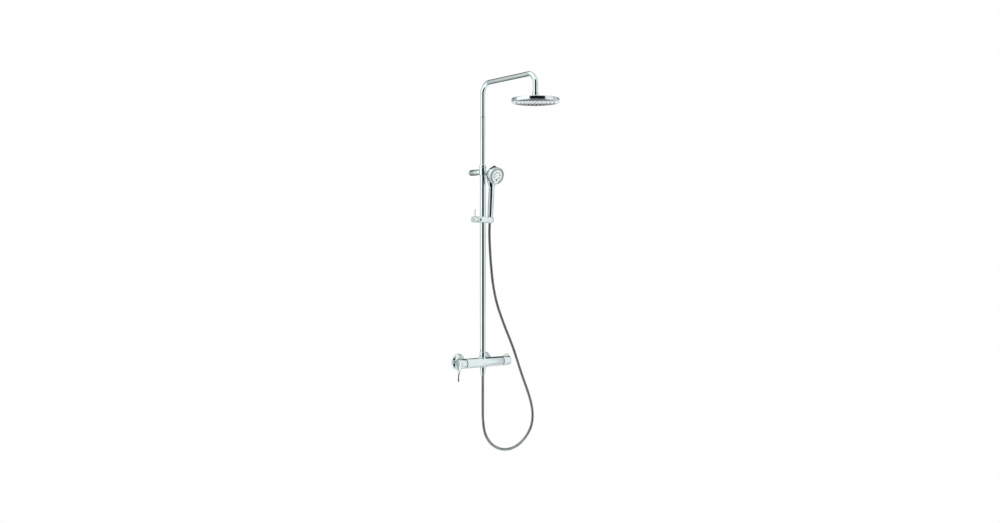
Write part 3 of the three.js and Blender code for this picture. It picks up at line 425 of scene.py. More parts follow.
add_turned(mesh, riser_seat, place_at(body_axis, UP))
hose_socket = [(9.3, 12), (15, 15.5), (13, 20), (12.2, 21), (12, 22), (9.3, 22)]
add_turned(mesh, hose_socket, place_at(body_axis, -UP))
finished("mixer_bar", mesh, chrome, "root", "mixer_body")


# ---------- Mixer ends ----------
# Ceramic cartridges on brass spindles, held by black nuts whose flanges show as the dark seams
# beside each handle.
black_plastic = finish_material(
    "black_plastic", (0.004, 0.005, 0.005), (0.012, 0.014, 0.014),
    0.5, 0.7, grains=700, uneven=0.06, gloss=0.15,
)
white_plastic = finish_material(
    "white_acetal", (0.8, 0.82, 0.81), (0.7, 0.72, 0.71), 0.38, 0.55, grains=600, uneven=0.1
)
SEAM = [(7.5, 0), (20.6, 0), (20.6, 2.8), (16.7, 2.8), (16.7, 13.1), (7.5, 13.1)]
turn("lever_seam", "cartridge_nut", RIGHT, SEAM, black_plastic, "root", soft=0.2)
turn("diverter_seam", "diverter_nut", LEFT, SEAM, black_plastic, "root", soft=0.2)
CARTRIDGE = [(0, 0), (16.7, 0), (16.7, 29.2), (5.3, 29.2), (5.3, 18.9), (0, 18.9)]
turn("mixing_cartridge_core", "mixing_cartridge", LEFT, CARTRIDGE, white_plastic, "root")
turn("diverter_valve_core", "diverter_valve", RIGHT, CARTRIDGE, white_plastic, "root")
SPINDLE = [(0, 0), (5, 0), (5, 28.3), (7, 28.3), (7, 46.3), (0, 46.3)]
turn("lever_spindle", "cartridge_spindle", LEFT, SPINDLE, brass, "lever")
turn("diverter_spindle_core", "diverter_spindle", RIGHT, SPINDLE, brass, "diverter")


# ---------- Flow lever ----------
# A hollow chromed cap whose end runs down into a tail, with a thin rod for the fingers.
# A set screw through the cap's hub holds it on the spindle.
steel = finish_material(
    "turned_steel", (0.62, 0.64, 0.65), (0.48, 0.5, 0.51),
    0.22, 0.4, metallic=1.0, grains=500, uneven=0.08,
)


def add_slab(mesh, outline, low, high, place, edge=0.0, steps=3):
    """Adds a plate with rounded edges: an outline in millimetres, from low to high along +Z."""
    centre = sum((Vector(p) for p in outline), Vector((0, 0))) / len(outline)
    layers = []
    for i in range(steps + 1):
        angle = math.pi / 2 * i / steps
        layers.append((low + edge * (1 - math.sin(angle)), edge * (1 - math.cos(angle))))
    layers = [(z, inset) for z, inset in reversed(layers)] if edge else [(low, 0)]
    layers = sorted({(round(z, 5), round(inset, 5)) for z, inset in layers})
    layers += [(high + low - z, inset) for z, inset in reversed(layers)]
    rings = []
    for z, inset in layers:
        ring = []
        for p in outline:
            spoke = Vector(p) - centre
            spot = centre + spoke * (1 - inset / max(spoke.length, 0.001))
            ring.append(mesh.verts.new(place @ (Vector((spot.x, spot.y, z)) * 0.001)))
        rings.append(ring)
    count = len(outline)
    for a, b in zip(rings, rings[1:]):
        for i in range(count):
            j = (i + 1) % count
            mesh.faces.new((a[i], a[j], b[j], b[i]))
    mesh.faces.new(list(reversed(rings[0])))
    mesh.faces.new(rings[-1])


mesh = bmesh.new()
add_turned(
    mesh,
    [(0, 30.5), (19.8, 30.5), (21, 29.3), (21, 3.4), (18, 3.4), (18, 26), (10.5, 26)]
    + [(10.5, 9), (7.3, 9), (7.3, 27), (0, 27)],
    place_at(left_end, LEFT), soft=0.5, sides=128,
)
DROP_RADIUS = 20.5
DROP_OPENS = math.radians(60.8)
TAIL_BACK = 28.5
TAIL_FRONT = 37.5
tail_start, tail_pull, tail_end = Vector((10, -17.9)), Vector((27, -7)), Vector((36, -3.6))
drop = []
for i in range(73):
    angle = DROP_OPENS + (2 * math.pi - 2 * DROP_OPENS) * i / 72
    drop.append((DROP_RADIUS * math.cos(angle), DROP_RADIUS * math.sin(angle)))
tail = []
for i in range(1, 16):
    t = i / 16
    tail.append(tuple(tail_start * (1 - t) ** 2 + tail_pull * 2 * t * (1 - t) + tail_end * t * t))
tip = [(36, -3.6), (36, 3.6)]
outline = drop + tail + tip + [(x, -y) for x, y in reversed(tail)]
down_frame = Matrix.Translation(left_end) @ Matrix(
    ((0, 0, -1, 0), (0, 1, 0, 0), (-1, 0, 0, 0), (0, 0, 0, 1))
)
add_slab(mesh, outline, TAIL_BACK, TAIL_FRONT, down_frame, edge=1.6, steps=5)
finished("lever_cap", mesh, chrome, "lever", "lever_handle", sharp=40)
rod_line = [(36.3, 32.5), (39, 32.8), (41.3, 33.5), (44, 34.5)]
rod_line += [(47.3, 36), (50, 36.7), (53, 37), (60, 37)]
rod_line += [(x, 37) for x in (62, 65, 72, 75.3, 76.6, 77.2)]
rod_radii = [2.8] * 8 + [2.9, 3.4, 3.4, 3.3, 2.7, 1.6]
mesh = bmesh.new()
rod_path = [down_frame @ (Vector((x, 0, z)) * 0.001) for x, z in rod_line]
add_tube(mesh, rod_path, [r * 0.001 for r in rod_radii])
# The chromed finger rod takes the darkened steel, a painted dark reflection.
finished("lever_finger_rod", mesh, steel_with_painted_dark_reflection, "lever", "lever_rod")
turn(
    "lever_set_screw", "lever_grub_screw", TO_WALL,
    [(0, 0), (2, 0), (2, 4.5), (0, 4.5)], steel, "lever",
)


# ---------- Diverter knob ----------
# A hollow chromed knob on the diverter's spindle, with a chromed thumb grip set into a slot
# in its top.
mesh = bmesh.new()
add_turned(
    mesh,
    [(0, 44), (19.8, 44), (21, 42.8), (21, 3.4), (18, 3.4), (18, 26), (10.5, 26)]
    + [(10.5, 9), (7.3, 9), (7.3, 27), (0, 27)],
    place_at(right_end, RIGHT), soft=0.6, sides=128,
)
knob = finished("diverter_cap", mesh, chrome, None, "diverter_knob")
mesh = bmesh.new()
bmesh.ops.create_cube(mesh, size=1)
GRIP_START = 0.01
GRIP_END = 0.042
GRIP_HALF_WIDTH = 0.0022
SLOT_GAP = 0.0003
SLOT_FLOOR = 0.019
slot_half = GRIP_HALF_WIDTH + SLOT_GAP
slot_low = right_end + Vector((GRIP_START - SLOT_GAP, -slot_half, SLOT_FLOOR))
slot_high = right_end + Vector((GRIP_END + SLOT_GAP, slot_half, 0.03))
for vertex in mesh.verts:
    share = vertex.co + Vector((0.5, 0.5, 0.5))
    vertex.co = Vector(a + (b - a) * s for a, b, s in zip(slot_low, slot_high, share))
cutter = finished("slot_cutter", mesh, chrome, None)


def carve(piece, other, operation="DIFFERENCE"):
    """Cuts a piece with another, or joins them, and puts the other away."""
    step = piece.modifiers.new("cut", "BOOLEAN")
    step.operation = operation
    step.object = other
    step.solver = "EXACT"
    cut = bpy.data.meshes.new_from_object(piece.evaluated_get(bpy.context.evaluated_depsgraph_get()))
    piece.modifiers.clear()
    piece.data = cut
    bpy.data.objects.remove(other)
    for face in cut.polygons:
        face.use_smooth = True
    cut.set_sharp_from_angle(angle=math.radians(35))


carve(knob, cutter)
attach(knob, "diverter")
grip_side = [(10, 19.3), (42, 19.3), (42, 28), (39.9, 29.6)]
grip_side += [(37.7, 30.5), (35.4, 30.6), (33, 30), (10, 21.8)]
grip_frame = Matrix.Translation(right_end) @ Matrix(
    ((1, 0, 0, 0), (0, 0, 1, 0), (0, 1, 0, 0), (0, 0, 0, 1))
)
mesh = bmesh.new()
half = GRIP_HALF_WIDTH * 1000
add_slab(mesh, grip_side, -half, half, grip_frame, edge=0.5, steps=2)
finished("diverter_thumb_grip", mesh, chrome, "diverter", "diverter_grip")


# ---------- Hose outlet ----------
# A brass nipple in the body's socket, a rubber washer, and the hose's chromed lower nut,
# which narrows down onto the hose.
turn("outlet_nipple", "hose_outlet_nipple", UP, [(5.5, 0), (9, 0), (9, 26), (5.5, 26)], brass, "root")
turn(
    "outlet_washer", "hose_outlet_washer", UP,
    [(5.5, 0), (9, 0), (9, 1.7), (5.5, 1.7)], rubber, "root",
)
turn(
    "lower_hose_nut", "hose_lower_nut", UP,
    [(6.5, 0), (9.2, 0), (9.7, 1), (11.4, 10.5), (12, 13.5), (12, 35), (9.3, 35), (9.3, 17), (6.5, 17)],
    chrome, "root", soft=0.8,
)


# ---------- Riser ----------
# Two chromed tubes on a base collar. The upper slides in the lower, past a plastic bush and a
# rubber seal, and a black ring marks where the arm stands on it.
turn(
    "base_collar", "riser_base_collar", UP,
    [(8, 0), (13.8, 0), (13.8, 22), (13.2, 22.7), (12.8, 22.7), (12.8, 3.4), (8, 3.4)],
    chrome, "root", soft=0.5,
)
turn(
    "lower_tube", "lower_riser_tube", UP,
    [(11.7, 0), (12.5, 0), (12.5, 818), (11.7, 818)], chrome, "root",
)
turn(
    "guide_bush", "riser_guide_bush", UP,
    [(10.8, 0), (11.4, 0), (11.4, 30.3), (12.5, 30.3), (12.5, 33), (10.8, 33)],
    white_plastic, "root", soft=0.2,
)
turn(
    "upper_tube", "upper_riser_tube", UP,
    [(9.5, 0), (10.5, 0), (10.5, 465), (9.5, 465)], chrome, "upper_riser",
)
turn(
    "sliding_seal", "riser_seal", UP,
    [(10.8, 0), (11.4, 1), (11.4, 13), (10.8, 14)], rubber, "upper_riser", soft=0.1,
)
turn(
    "joint_line", "joint_ring", UP,
    [(9.5, 0), (10.1, 0), (10.1, 1.4), (9.5, 1.4)], black_plastic, "upper_riser", soft=0.1,
)


# ---------- Wall bracket ----------
# A chromed clamp and top ring round the lower tube, a neck to the wall, and a sleeve that
# covers the steel plate and its screw.
turn(
    "clamp_ring", "bracket_clamp", UP,
    [(12.8, 0), (15.4, 0), (16, 0.7), (16, 32.3), (15.4, 33), (12.8, 33)], chrome, "root", soft=0.5,
)
turn(
    "top_ring", "bracket_top_ring", UP,
    [(10.85, 0), (14.5, 0), (14.5, 11), (13.3, 12.7), (10.85, 12.7)], chrome, "root", soft=0.6,
)
turn(
    "neck", "bracket_neck", TO_WALL,
    [(0, 3.2), (11.25, 3.2), (11.25, 60.7), (0, 60.7)], chrome, "root", soft=0.5,
)
turn(
    "wall_sleeve", "bracket_sleeve", TO_WALL,
    [(11.6, 0), (12.7, 0), (13.5, 0.9), (13.5, 50), (11.6, 50)], chrome, "root", soft=0.5,
)
turn(
    "wall_plate", "bracket_wall_plate", TO_WALL,
    [(2.8, 0), (11.25, 0), (11.25, 8), (2.8, 8)], steel, "root",
)
turn(
    "wall_screw", "bracket_wall_screw", TO_WALL,
    [(0, 0), (3, 0), (4.6, 2), (4.6, 3), (2.4, 3)]
    + [(2.4 - 0.7 * (i % 2), 9 + i) for i in range(26)]
    + [(1.6, 37), (0, 41.3)],
    steel, "root", soft=0.1, sides=32,
)
turn(
    "sleeve_set_screw", "bracket_grub_screw", UP,
    [(0, 0), (2, 0), (2, 5), (0, 5)], steel, "root", soft=0.3,
)


# ---------- Arm ----------
# One chromed tube, bent twice to a wide radius, turning on a brass spigot in the riser's top.
# A collar and a socket nut at its tip hold the rain head's ball.
arm_low, arm_high = (Vector(c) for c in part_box("shower_arm"))
tube_radius = 0.0105
BEND = 0.048
COLLAR_GAP = 0.0003
arm_top = arm_high.z - tube_radius
arm_out = arm_low.y + tube_radius
arm_in = arm_high.y - tube_radius
arm_foot = arm_low.z
arm_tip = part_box("head_collar")[1][2] + COLLAR_GAP
bend_level = arm_top - BEND
line = [Vector((0, arm_in, arm_foot + (bend_level - arm_foot) * i / 4)) for i in range(4)]
for i in range(25):
    angle = math.pi / 2 * i / 24
    back = arm_in - BEND * (1 - math.cos(angle))
    line.append(Vector((0, back, bend_level + BEND * math.sin(angle))))
for i in range(1, 8):
    line.append(Vector((0, arm_in - BEND + (arm_out - arm_in + 2 * BEND) * i / 8, arm_top)))
for i in range(25):
    angle = math.pi / 2 * i / 24
    front = arm_out + BEND * (1 - math.sin(angle))
    line.append(Vector((0, front, bend_level + BEND * math.cos(angle))))
line.append(Vector((0, arm_out, arm_tip)))
mesh = bmesh.new()
add_tube(mesh, line, [tube_radius] * len(line), sides=64)
finished("bent_arm", mesh, chrome, "arm", "shower_arm")
turn("swivel_spigot", "arm_spigot", UP, [(7.5, 0), (9.2, 0), (9.2, 54), (7.5, 54)], brass, "arm")
turn(
    "neck_collar", "head_collar", UP,
    [(8, 0), (12.7, 0), (12.7, 3.2), (8, 3.2)], chrome, "arm", soft=0.9,
)
turn(
    "ball_socket_nut", "ball_nut", UP,
    [(7.2, 0), (12, 0), (12.5, 0.6), (12.5, 20.2), (7, 20.2)]
    + [(7, 17), (10.7, 17), (10.7, 5.4), (8.9, 4.8), (8.3, 2)],
    chrome, "arm", soft=0.3,
)


# ---------- Rain head ----------
# A thin chromed disc on a brass ball in a rubber seat, with black rubber nozzles that stand
# through a bright face plate in five rings.
chrome_plastic = finish_material(
    "chrome_on_plastic", (0.75, 0.85, 0.845), (0.69, 0.79, 0.785),
    0.05, 0.11, metallic=1.0, uneven=0.02,
)
turn(
    "socket_seal", "ball_seat", UP,
    [(8.44, 0), (9.7, 0), (8.8, 2.4), (7.1, 4.5), (5.4, 4.5), (7.3, 2.4)], rubber, "seat", soft=0.1,
)
BALL_RADIUS = 8.5
BALL_HEIGHT = 15.3
BALL_FROM = math.radians(-58)
BALL_SWEEP = math.radians(131)
ball_points = []
for i in range(21):
    angle = BALL_FROM + BALL_SWEEP * i / 20
    ball_points.append((BALL_RADIUS * math.cos(angle), BALL_HEIGHT + BALL_RADIUS * math.sin(angle)))
turn(
    "swivel_ball", "head_ball", UP,
    ball_points + [(2.5, 0), (11, 0), (11, 3), (4.5, 3)], brass, "rain_head", soft=0.1,
)
turn(
    "head_disc", "head_shell", UP,
    [(97.5, 0), (99.4, 0), (100, 0.7), (100, 14), (98.4, 15.8), (97.5, 16)]
    + [(60, 16), (20, 16), (5, 16), (5, 13), (97.5, 13)],
    chrome_plastic, "rain_head", soft=0.5, sides=192,
)
mat_low, mat_high = (Vector(c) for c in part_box("nozzle_mat"))
head_axis = Vector(((mat_low.x + mat_high.x) / 2, (mat_low.y + mat_high.y) / 2, 0))
MAT_THICKNESS = 2
RINGS = 5
RING_PITCH = 0.016
nozzle_places = [(0.0, 0.0)]
for ring in range(1, RINGS + 1):
    reach = ring * RING_PITCH
    for i in range(6 * ring):
        angle = 2 * math.pi * i / (6 * ring)
        nozzle_places.append((reach * math.cos(angle), reach * math.sin(angle)))
mesh = bmesh.new()
add_turned(
    mesh, [(0, 0), (90, 0), (90, MAT_THICKNESS), (0, MAT_THICKNESS)],
    place_at(head_axis + Vector((0, 0, mat_high.z - MAT_THICKNESS * 0.001)), UP), sides=96,
)
for x, y in nozzle_places:
    add_turned(
        mesh,
        [(0, 0), (0.5, 0.1), (0.6, 0.5), (1.15, 0.15), (1.5, 1.6), (1.95, 2.2), (1.95, 5), (0, 5)],
        place_at(head_axis + Vector((x, y, mat_low.z)), UP), soft=0.1, sides=12,
    )
finished("rubber_nozzles", mesh, rubber, "rain_head", "nozzle_mat")
turn(
    "bright_face", "face_plate", UP, [(0, 0), (96.8, 0), (97.2, 0.5), (97.2, 2.5), (0, 2.5)],
    chrome_plastic, "rain_head", sides=192,
)


# ---------- Slider ----------
# A chromed bar, bored round a plastic bush, with a stub for the clamp knob and a spigot for the
# holder. The knob drives a steel screw, and its pin is the lever.
slide_low, slide_high = (Vector(c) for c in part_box("slider_body"))
slide_centre = Vector((0, riser_axis.y, (slide_low.z + slide_high.z) / 2))
BAR_HALF_HEIGHT = 13
BAR_ROUND = 5
ACROSS = Matrix(((0, 0, 1, 0), (1, 0, 0, 0), (0, 1, 0, 0), (0, 0, 0, 1)))


def add_bar(mesh, half_depth, low, high, place, edge=0.5):
    """Adds a bar along +X with its long edges rounded, from low to high."""
    outline = []
    for quarter in range(4):
        for i in range(9):
            angle = math.pi / 2 * (quarter + i / 8)
            across = (half_depth - BAR_ROUND) * (1 if quarter in (0, 3) else -1)
            up = (BAR_HALF_HEIGHT - BAR_ROUND) * (1 if quarter < 2 else -1)
            outline.append((across + BAR_ROUND * math.cos(angle), up + BAR_ROUND * math.sin(angle)))
    add_slab(mesh, outline, low, high, place @ ACROSS, edge)


def tool(profile, place, sides=96):
    """A turned cutting tool, or a turned solid to be joined on."""
    mesh = bmesh.new()
    add_turned(mesh, profile, place, soft=0, sides=sides)
    return finished("tool", mesh, chrome, None)


mesh = bmesh.new()
add_bar(mesh, 18, -21, 18.7, Matrix.Translation(slide_centre))
slider = finished("slider_bar", mesh, chrome, None, "slider_body")
bush_bore = [(0, -15), (14.9, -15), (14.9, 15), (0, 15)]
carve(slider, tool(bush_bore, Matrix.Translation(slide_centre)))
mesh = bmesh.new()
add_turned(mesh, [(4.3, 15.5), (13, 15.5), (13, 30), (4.3, 30)], place_at(slide_centre, LEFT), soft=0.5)
carve(slider, finished("stub", mesh, chrome, None), "UNION")
spigot = [(0, 18), (6, 18), (6, 22.5), (0, 22.5)]
carve(slider, tool(spigot, place_at(slide_centre, RIGHT)), "UNION")
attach(slider, "slider")
turn(
    "slider_sleeve", "slider_bush", UP,
    [(12.8, 0), (14.6, 0), (14.6, 24), (12.8, 24)], white_plastic, "slider",
)
turn(
    "clamp_cap", "clamp_knob", LEFT,
    [(4.3, 0), (13, 0), (13, 25), (12.4, 26.3), (11.2, 26.7), (0, 26.7), (0, 17.4), (4.3, 17.4)],
    chrome, "clamp", soft=0.5,
)
turn(
    "clamp_lever_pin", "clamp_pin", UP,
    [(0, 0), (2.3, 0), (2.3, 37), (1.7, 37.7), (0, 37.7)], chrome, "clamp", sides=32,
)
turn(
    "clamp_thrust_screw", "clamp_screw", LEFT,
    [(0, 0), (4, 0), (4, 32.6), (0, 32.6)], steel, "clamp", sides=48,
)


# ---------- Holder ----------
# A chromed socket that tilts on the slider's spigot, with a plastic cone that takes the
# hand shower's nut. It leans a little towards the room.
LEAN = math.radians(5)
HOLDER_REACH = 0.04
BARREL_RADIUS = 16.5
holder_pivot = slide_centre + Vector((HOLDER_REACH, 0, 0))
holder_frame = Matrix.Translation(holder_pivot) @ Matrix.Rotation(LEAN, 4, "X")
edge = []
for i in range(9):
    angle = math.pi / 2 * i / 8
    radius = BARREL_RADIUS - BAR_ROUND + BAR_ROUND * math.cos(angle)
    edge.append((radius, BAR_HALF_HEIGHT - BAR_ROUND + BAR_ROUND * math.sin(angle)))
foot, lip = (0, -BAR_HALF_HEIGHT), (0, BAR_HALF_HEIGHT)
mesh = bmesh.new()
add_turned(mesh, [foot] + [(r, -z) for r, z in reversed(edge)] + edge + [lip], holder_frame, soft=0)
cup = finished("holder_cup", mesh, chrome, None, "holder_socket")
mesh = bmesh.new()
add_bar(mesh, BARREL_RADIUS, -21, 0, holder_frame)
carve(cup, finished("holder_arm", mesh, chrome, None), "UNION")
carve(cup, tool([(0, -15), (12.3, -15), (12.3, 15), (0, 15)], holder_frame))
spigot_frame = holder_frame @ UP.rotation_difference(LEFT).to_matrix().to_4x4()
carve(cup, tool([(0, 17.2), (6.4, 17.2), (6.4, 23), (0, 23)], spigot_frame))
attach(cup, "holder")
mesh = bmesh.new()
add_turned(mesh, [(9.3, -13), (12, -13), (12, 13), (10.6, 13)], holder_frame)
finished("holder_cone", mesh, white_plastic, "holder", "holder_liner")


# ---------- Hand shower ----------
# A chromed plastic handle that flows into a deep round bowl, with the hose's conical nut at its
# foot and a black spray button in a pocket at the back.
mesh = bmesh.new()
add_turned(mesh, [(6.5, -15), (8.8, -15), (10.2, 14), (6.5, 14)], holder_frame)
finished("upper_hose_nut", mesh, chrome, "hand_shower", "hose_upper_nut")

FACE_CENTRE = (0, -0.035, 0.196)
FACE_DROOP = math.radians(11)
spray_frame = (
    holder_frame
    @ Matrix.Translation(FACE_CENTRE)
    @ Matrix.Rotation(FACE_DROOP - math.pi / 2, 4, "X")
)
mesh = bmesh.new()
add_turned(
    mesh,
    [(6.8, 14.3), (11.3, 14.3), (12, 18.3), (12.3, 35), (12.6, 60), (12.6, 170), (6.8, 175)],
    holder_frame, soft=0.6,
)
shell = finished("hand_shower_handle_and_bowl", mesh, chrome_plastic, None, "hand_shower_shell")
mesh = bmesh.new()
add_turned(
    mesh,
    [(0, 10), (33, 10), (33, 4), (35.3, 4), (35.3, 7.8), (38, 7.8)]
    + [(38, 13), (37.8, 20), (36.5, 30), (34.4, 34.3), (31, 38), (27.8, 41.4)]
    + [(24, 44.5), (19.5, 47), (14, 49), (7, 50.6), (0, 51)],
    spray_frame, soft=0.5,
)
bowl = finished("bowl", mesh, chrome_plastic, None)
mesh = bmesh.new()
flattened = holder_frame @ Matrix.Diagonal((1, 0.6, 1, 1))
shoulder_profile = [(0, 132), (11.6, 136), (13, 142), (17, 152), (29, 182), (20, 184), (0, 184)]
add_turned(mesh, shoulder_profile, flattened, soft=3)
shoulder = finished("shoulder", mesh, chrome_plastic, None)
carve(shell, shoulder, "UNION")
carve(shell, bowl, "UNION")
mesh = bmesh.new()
up_frame = spray_frame @ Matrix(((0, 0, 1, 0), (0, -1, 0, 0), (1, 0, 0, 0), (0, 0, 0, 1)))
pocket = [(27.7, 32.5), (47.3, 17), (47.3, 47), (27.7, 47)]
add_slab(mesh, pocket, -6.3, 6.3, up_frame)
carve(shell, finished("pocket_cutter", mesh, chrome_plastic, None))
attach(shell, "hand_shower")
button = [(28, 34.8), (47, 19.3), (47, 24), (44, 27.6), (40, 32.2)]
button += [(35, 36.8), (32.5, 39), (30.6, 39.7), (28, 39.7)]
mesh = bmesh.new()
add_slab(mesh, button, -6, 6, up_frame, edge=0.7, steps=3)
finished("spray_push_button", mesh, black_plastic, "spray_button", "spray_button")


# ---------- Hand shower face ----------
# A pale face in a satin trim ring, with a raised grey band, six rubber jets and a
# wedge-shaped outlet.
satin = finish_material(
    "satin_chrome", (0.8, 0.88, 0.875), (0.74, 0.82, 0.815),
    0.4, 0.55, metallic=1.0, grains=500, uneven=0.06,
)
pale_plastic = finish_material(
    "pale_plastic", (0.9, 0.96, 0.955), (0.84, 0.9, 0.895), 0.28, 0.42, grains=700, uneven=0.05
)
grey_plastic = finish_material(
    "grey_plastic", (0.27, 0.33, 0.34), (0.34, 0.4, 0.41), 0.3, 0.45, grains=700, uneven=0.06
)
mesh = bmesh.new()
add_turned(mesh, [(35.7, -0.8), (37.4, -0.8), (38.3, 0.2), (38.3, 7.5), (35.7, 7.5)], spray_frame)
finished("trim_ring", mesh, satin, "hand_shower", "face_trim_ring")
mesh = bmesh.new()
add_turned(mesh, [(0, -0.2), (34.6, -0.2), (35, 0.2), (35, 3.6), (0, 3.6)], spray_frame)
finished("spray_face", mesh, pale_plastic, "hand_shower", "hand_face_plate")
mesh = bmesh.new()
BAND_OUTER = 34.4
BAND_INNER = 28.2
BAND_STEPS = 64
BAND_OPENING = 48
band = []
outward = range(0, BAND_STEPS + 1)
for reach, sweep in ((BAND_OUTER, outward), (BAND_INNER, reversed(outward))):
    for i in sweep:
        angle = math.radians(90 + BAND_OPENING / 2 + (360 - BAND_OPENING) * i / BAND_STEPS)
        band.append((reach * math.cos(angle), reach * math.sin(angle)))
rings = []
for z, inset in ((-0.5, 0), (-1.3, 0), (-1.6, 0.3)):
    ring = []
    for x, y in band:
        reach = math.hypot(x, y)
        middle = (BAND_OUTER + BAND_INNER) / 2
        share = (reach - inset if reach > middle else reach + inset) / reach
        ring.append(mesh.verts.new(spray_frame @ (Vector((x * share, y * share, z)) * 0.001)))
    rings.append(ring)
for a, b in zip(rings, rings[1:]):
    for i in range(len(band)):
        j = (i + 1) % len(band)
        mesh.faces.new((a[i], a[j], b[j], b[i]))
for ring in (rings[0], rings[-1]):
    for i in range(BAND_STEPS):
        mesh.faces.new((ring[i], ring[i + 1], ring[len(band) - 2 - i], ring[len(band) - 1 - i]))
finished("grey_spray_band", mesh, grey_plastic, "hand_shower", "hand_spray_ring")
mesh = bmesh.new()
JET_CIRCLE = 0.0155
JET_FROM = math.radians(-34)
JET_STEP = math.radians(47.5)
for i in range(6):
    angle = JET_FROM + JET_STEP * i
    spot = Vector((JET_CIRCLE * math.cos(angle), -JET_CIRCLE * math.sin(angle), 0))
    add_turned(
        mesh, [(0, -0.6), (0.8, -0.6), (1, -0.9), (2.3, -0.7), (2.8, -0.2), (2.8, 1), (0, 1)],
        spray_frame @ Matrix.Translation(spot), soft=0.15, sides=24,
    )
wedge = [(0, 22.2), (1, 21.6), (5.6, 15.2), (5.4, 14.6), (-5.4, 14.6), (-5.6, 15.2), (-1, 21.6)]
add_slab(mesh, wedge, -0.9, 1, spray_frame, edge=0.3, steps=2)
finished("spray_jets", mesh, rubber, "hand_shower", "hand_nozzle_insert")


# ---------- Studio floor ----------
# A pale painted disc on the floor, well below the hanging hose.
# The column hangs on a wall, so nothing touches it.
FLOOR_RADIUS = 0.72
FLOOR_CENTRE = (0, -0.15, -0.95)
mesh = bmesh.new()
bmesh.ops.create_circle(mesh, cap_ends=True, segments=96, radius=FLOOR_RADIUS)
bmesh.ops.translate(mesh, verts=mesh.verts, vec=FLOOR_CENTRE)
floor_paint = finish_material(
    "pale_floor", (0.86, 0.87, 0.87), (0.82, 0.83, 0.83), 0.6, 0.75, clouds=2, grains=200
)
finished("studio_floor", mesh, floor_paint, None)


# ---------- Studio room ----------
# A bright even room, with dark panels at a few compass headings for the chrome to pick up.
# Straight views of it stay plain white, and only what it lights or mirrors sees the panels.
world = bpy.data.worlds.new("studio")
scene.world = world
world.use_nodes = True
sky = world.node_tree
sky.nodes.clear()
sky_out = linked(sky, "ShaderNodeOutputWorld")
room = linked(sky, "ShaderNodeBackground")
direction = linked(sky, "ShaderNodeTexCoord")
parts = linked(sky, "ShaderNodeSeparateXYZ")
sky.links.new(direction.outputs["Generated"], parts.inputs[0])
level = linked(sky, "ShaderNodeCombineXYZ")
sky.links.new(parts.outputs["X"], level.inputs["X"])
sky.links.new(parts.outputs["Y"], level.inputs["Y"])
heading = linked(sky, "ShaderNodeVectorMath", operation="NORMALIZE")
sky.links.new(level.outputs[0], heading.inputs[0])


def ramp(source, low, high, top=1.0):
    """A smooth step from 0 at low to top at high."""
    step = linked(sky, "ShaderNodeMapRange", interpolation_type="SMOOTHSTEP")
    step.inputs["From Min"].default_value = low
    step.inputs["From Max"].default_value = high
    step.inputs["To Max"].default_value = top
    sky.links.new(source, step.inputs["Value"])
    return step.outputs["Result"]


def facing(x, y, low, high, top=1.0):
    """A patch of the room round one compass heading."""
    dot = linked(sky, "ShaderNodeVectorMath", operation="DOT_PRODUCT")
    dot.inputs[1].default_value = (x, y, 0)
    sky.links.new(heading.outputs[0], dot.inputs[0])
    return ramp(dot.outputs["Value"], low, high, top)


def combine(operation, a, b):
    """One step of arithmetic on two masks or numbers."""
    node = linked(sky, "ShaderNodeMath", operation=operation)
    for i, source in enumerate((a, b)):
        if isinstance(source, (int, float)):
            node.inputs[i].default_value = source
        else:
            sky.links.new(source, node.inputs[i])
    return node.outputs[0]


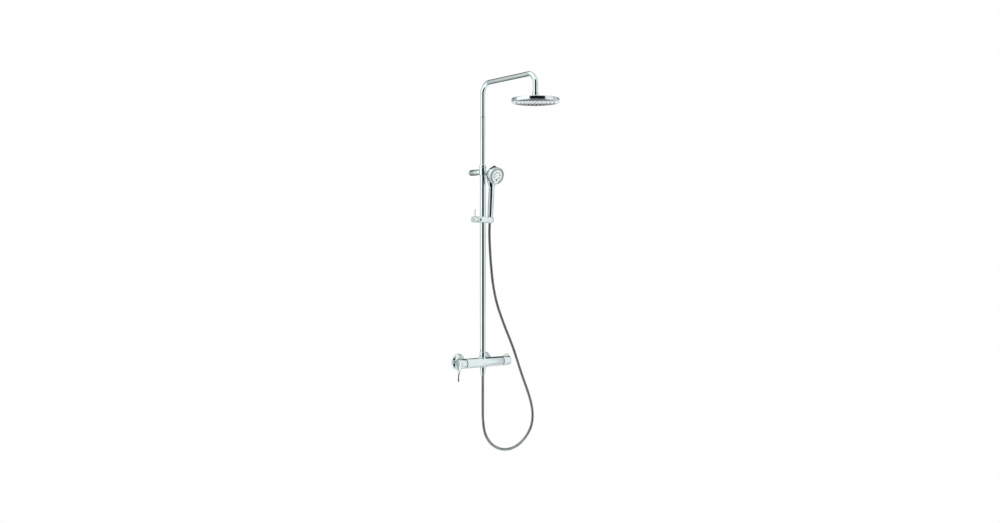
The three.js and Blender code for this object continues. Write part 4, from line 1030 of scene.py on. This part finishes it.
height = parts.outputs["Z"]
drop_height = combine("MULTIPLY", height, -1)
behind_camera = combine("MULTIPLY", facing(-0.506, -0.8625, 0.743, 0.829), ramp(height, 0.75, 0.5))
side_grey = combine("MULTIPLY", facing(-0.259, 0.966, 0.86, 0.95, 0.6), ramp(height, 0.7, 0.4))
right_grey = combine("MULTIPLY", facing(0.973, -0.232, 0.86, 0.96, 0.3), ramp(height, 0.7, 0.4))
far_wall = combine("MULTIPLY", ramp(height, 0.11, 0.06, 0.65), ramp(drop_height, 0.11, 0.06))
far_wall = combine("MULTIPLY", far_wall, facing(0.621, 0.784, 0.4, 0.6))
high_band = combine("MULTIPLY", ramp(height, 0.1, 0.2, 0.92), ramp(height, 0.84, 0.78))
high_band = combine("MULTIPLY", high_band, facing(0.574, 0.819, 0.45, 0.7))
low_band = combine("MULTIPLY", ramp(drop_height, 0.2, 0.3, 0.88), ramp(drop_height, 0.78, 0.66))
low_band = combine("MULTIPLY", low_band, facing(0.3, 0.954, 0.8, 0.88))
back_bands = combine("MAXIMUM", high_band, low_band)
dark = combine("MAXIMUM", behind_camera, side_grey)
dark = combine("MAXIMUM", dark, combine("MAXIMUM", back_bands, far_wall))
dark = combine("MAXIMUM", dark, right_grey)
ray = linked(sky, "ShaderNodeLightPath")
unseen = combine("SUBTRACT", 1, ray.outputs["Is Camera Ray"])
tone = linked(sky, "ShaderNodeMix", data_type="RGBA")
tone.inputs["A"].default_value = (1, 1, 1, 1)
tone.inputs["B"].default_value = (0.008, 0.012, 0.012, 1)
sky.links.new(combine("MULTIPLY", dark, unseen), tone.inputs["Factor"])
sky.links.new(tone.outputs["Result"], room.inputs["Color"])
window = combine("MULTIPLY", facing(-0.918, 0.397, 0.3, 0.7, 0.25), unseen)
sky.links.new(combine("ADD", window, 1), room.inputs["Strength"])
sky.links.new(room.outputs[0], sky_out.inputs["Surface"])


# ---------- Studio lamps ----------
# Two soft lamps that lift the matt pieces, one each side.
# They are left out of mirror-like reflections, where the room alone shows.
LAMP_AIM = Vector((0, -0.2, 0.5))
for name, spot, size, power in (
    ("soft_left", (-3.2, -0.6, 2.2), 1.8, 40),
    ("soft_right", (1.8, -3.2, 1.2), 1.8, 60),
):
    light = bpy.data.lights.new(name, "AREA")
    light.size = size
    light.energy = power
    lamp = bpy.data.objects.new(name, light)
    lamp.location = spot
    lamp.visible_glossy = False
    lamp.rotation_euler = (LAMP_AIM - Vector(spot)).to_track_quat("-Z", "Y").to_euler()
    scene.collection.objects.link(lamp)

scene.view_settings.view_transform = "Standard"


bpy.context.view_layer.update()
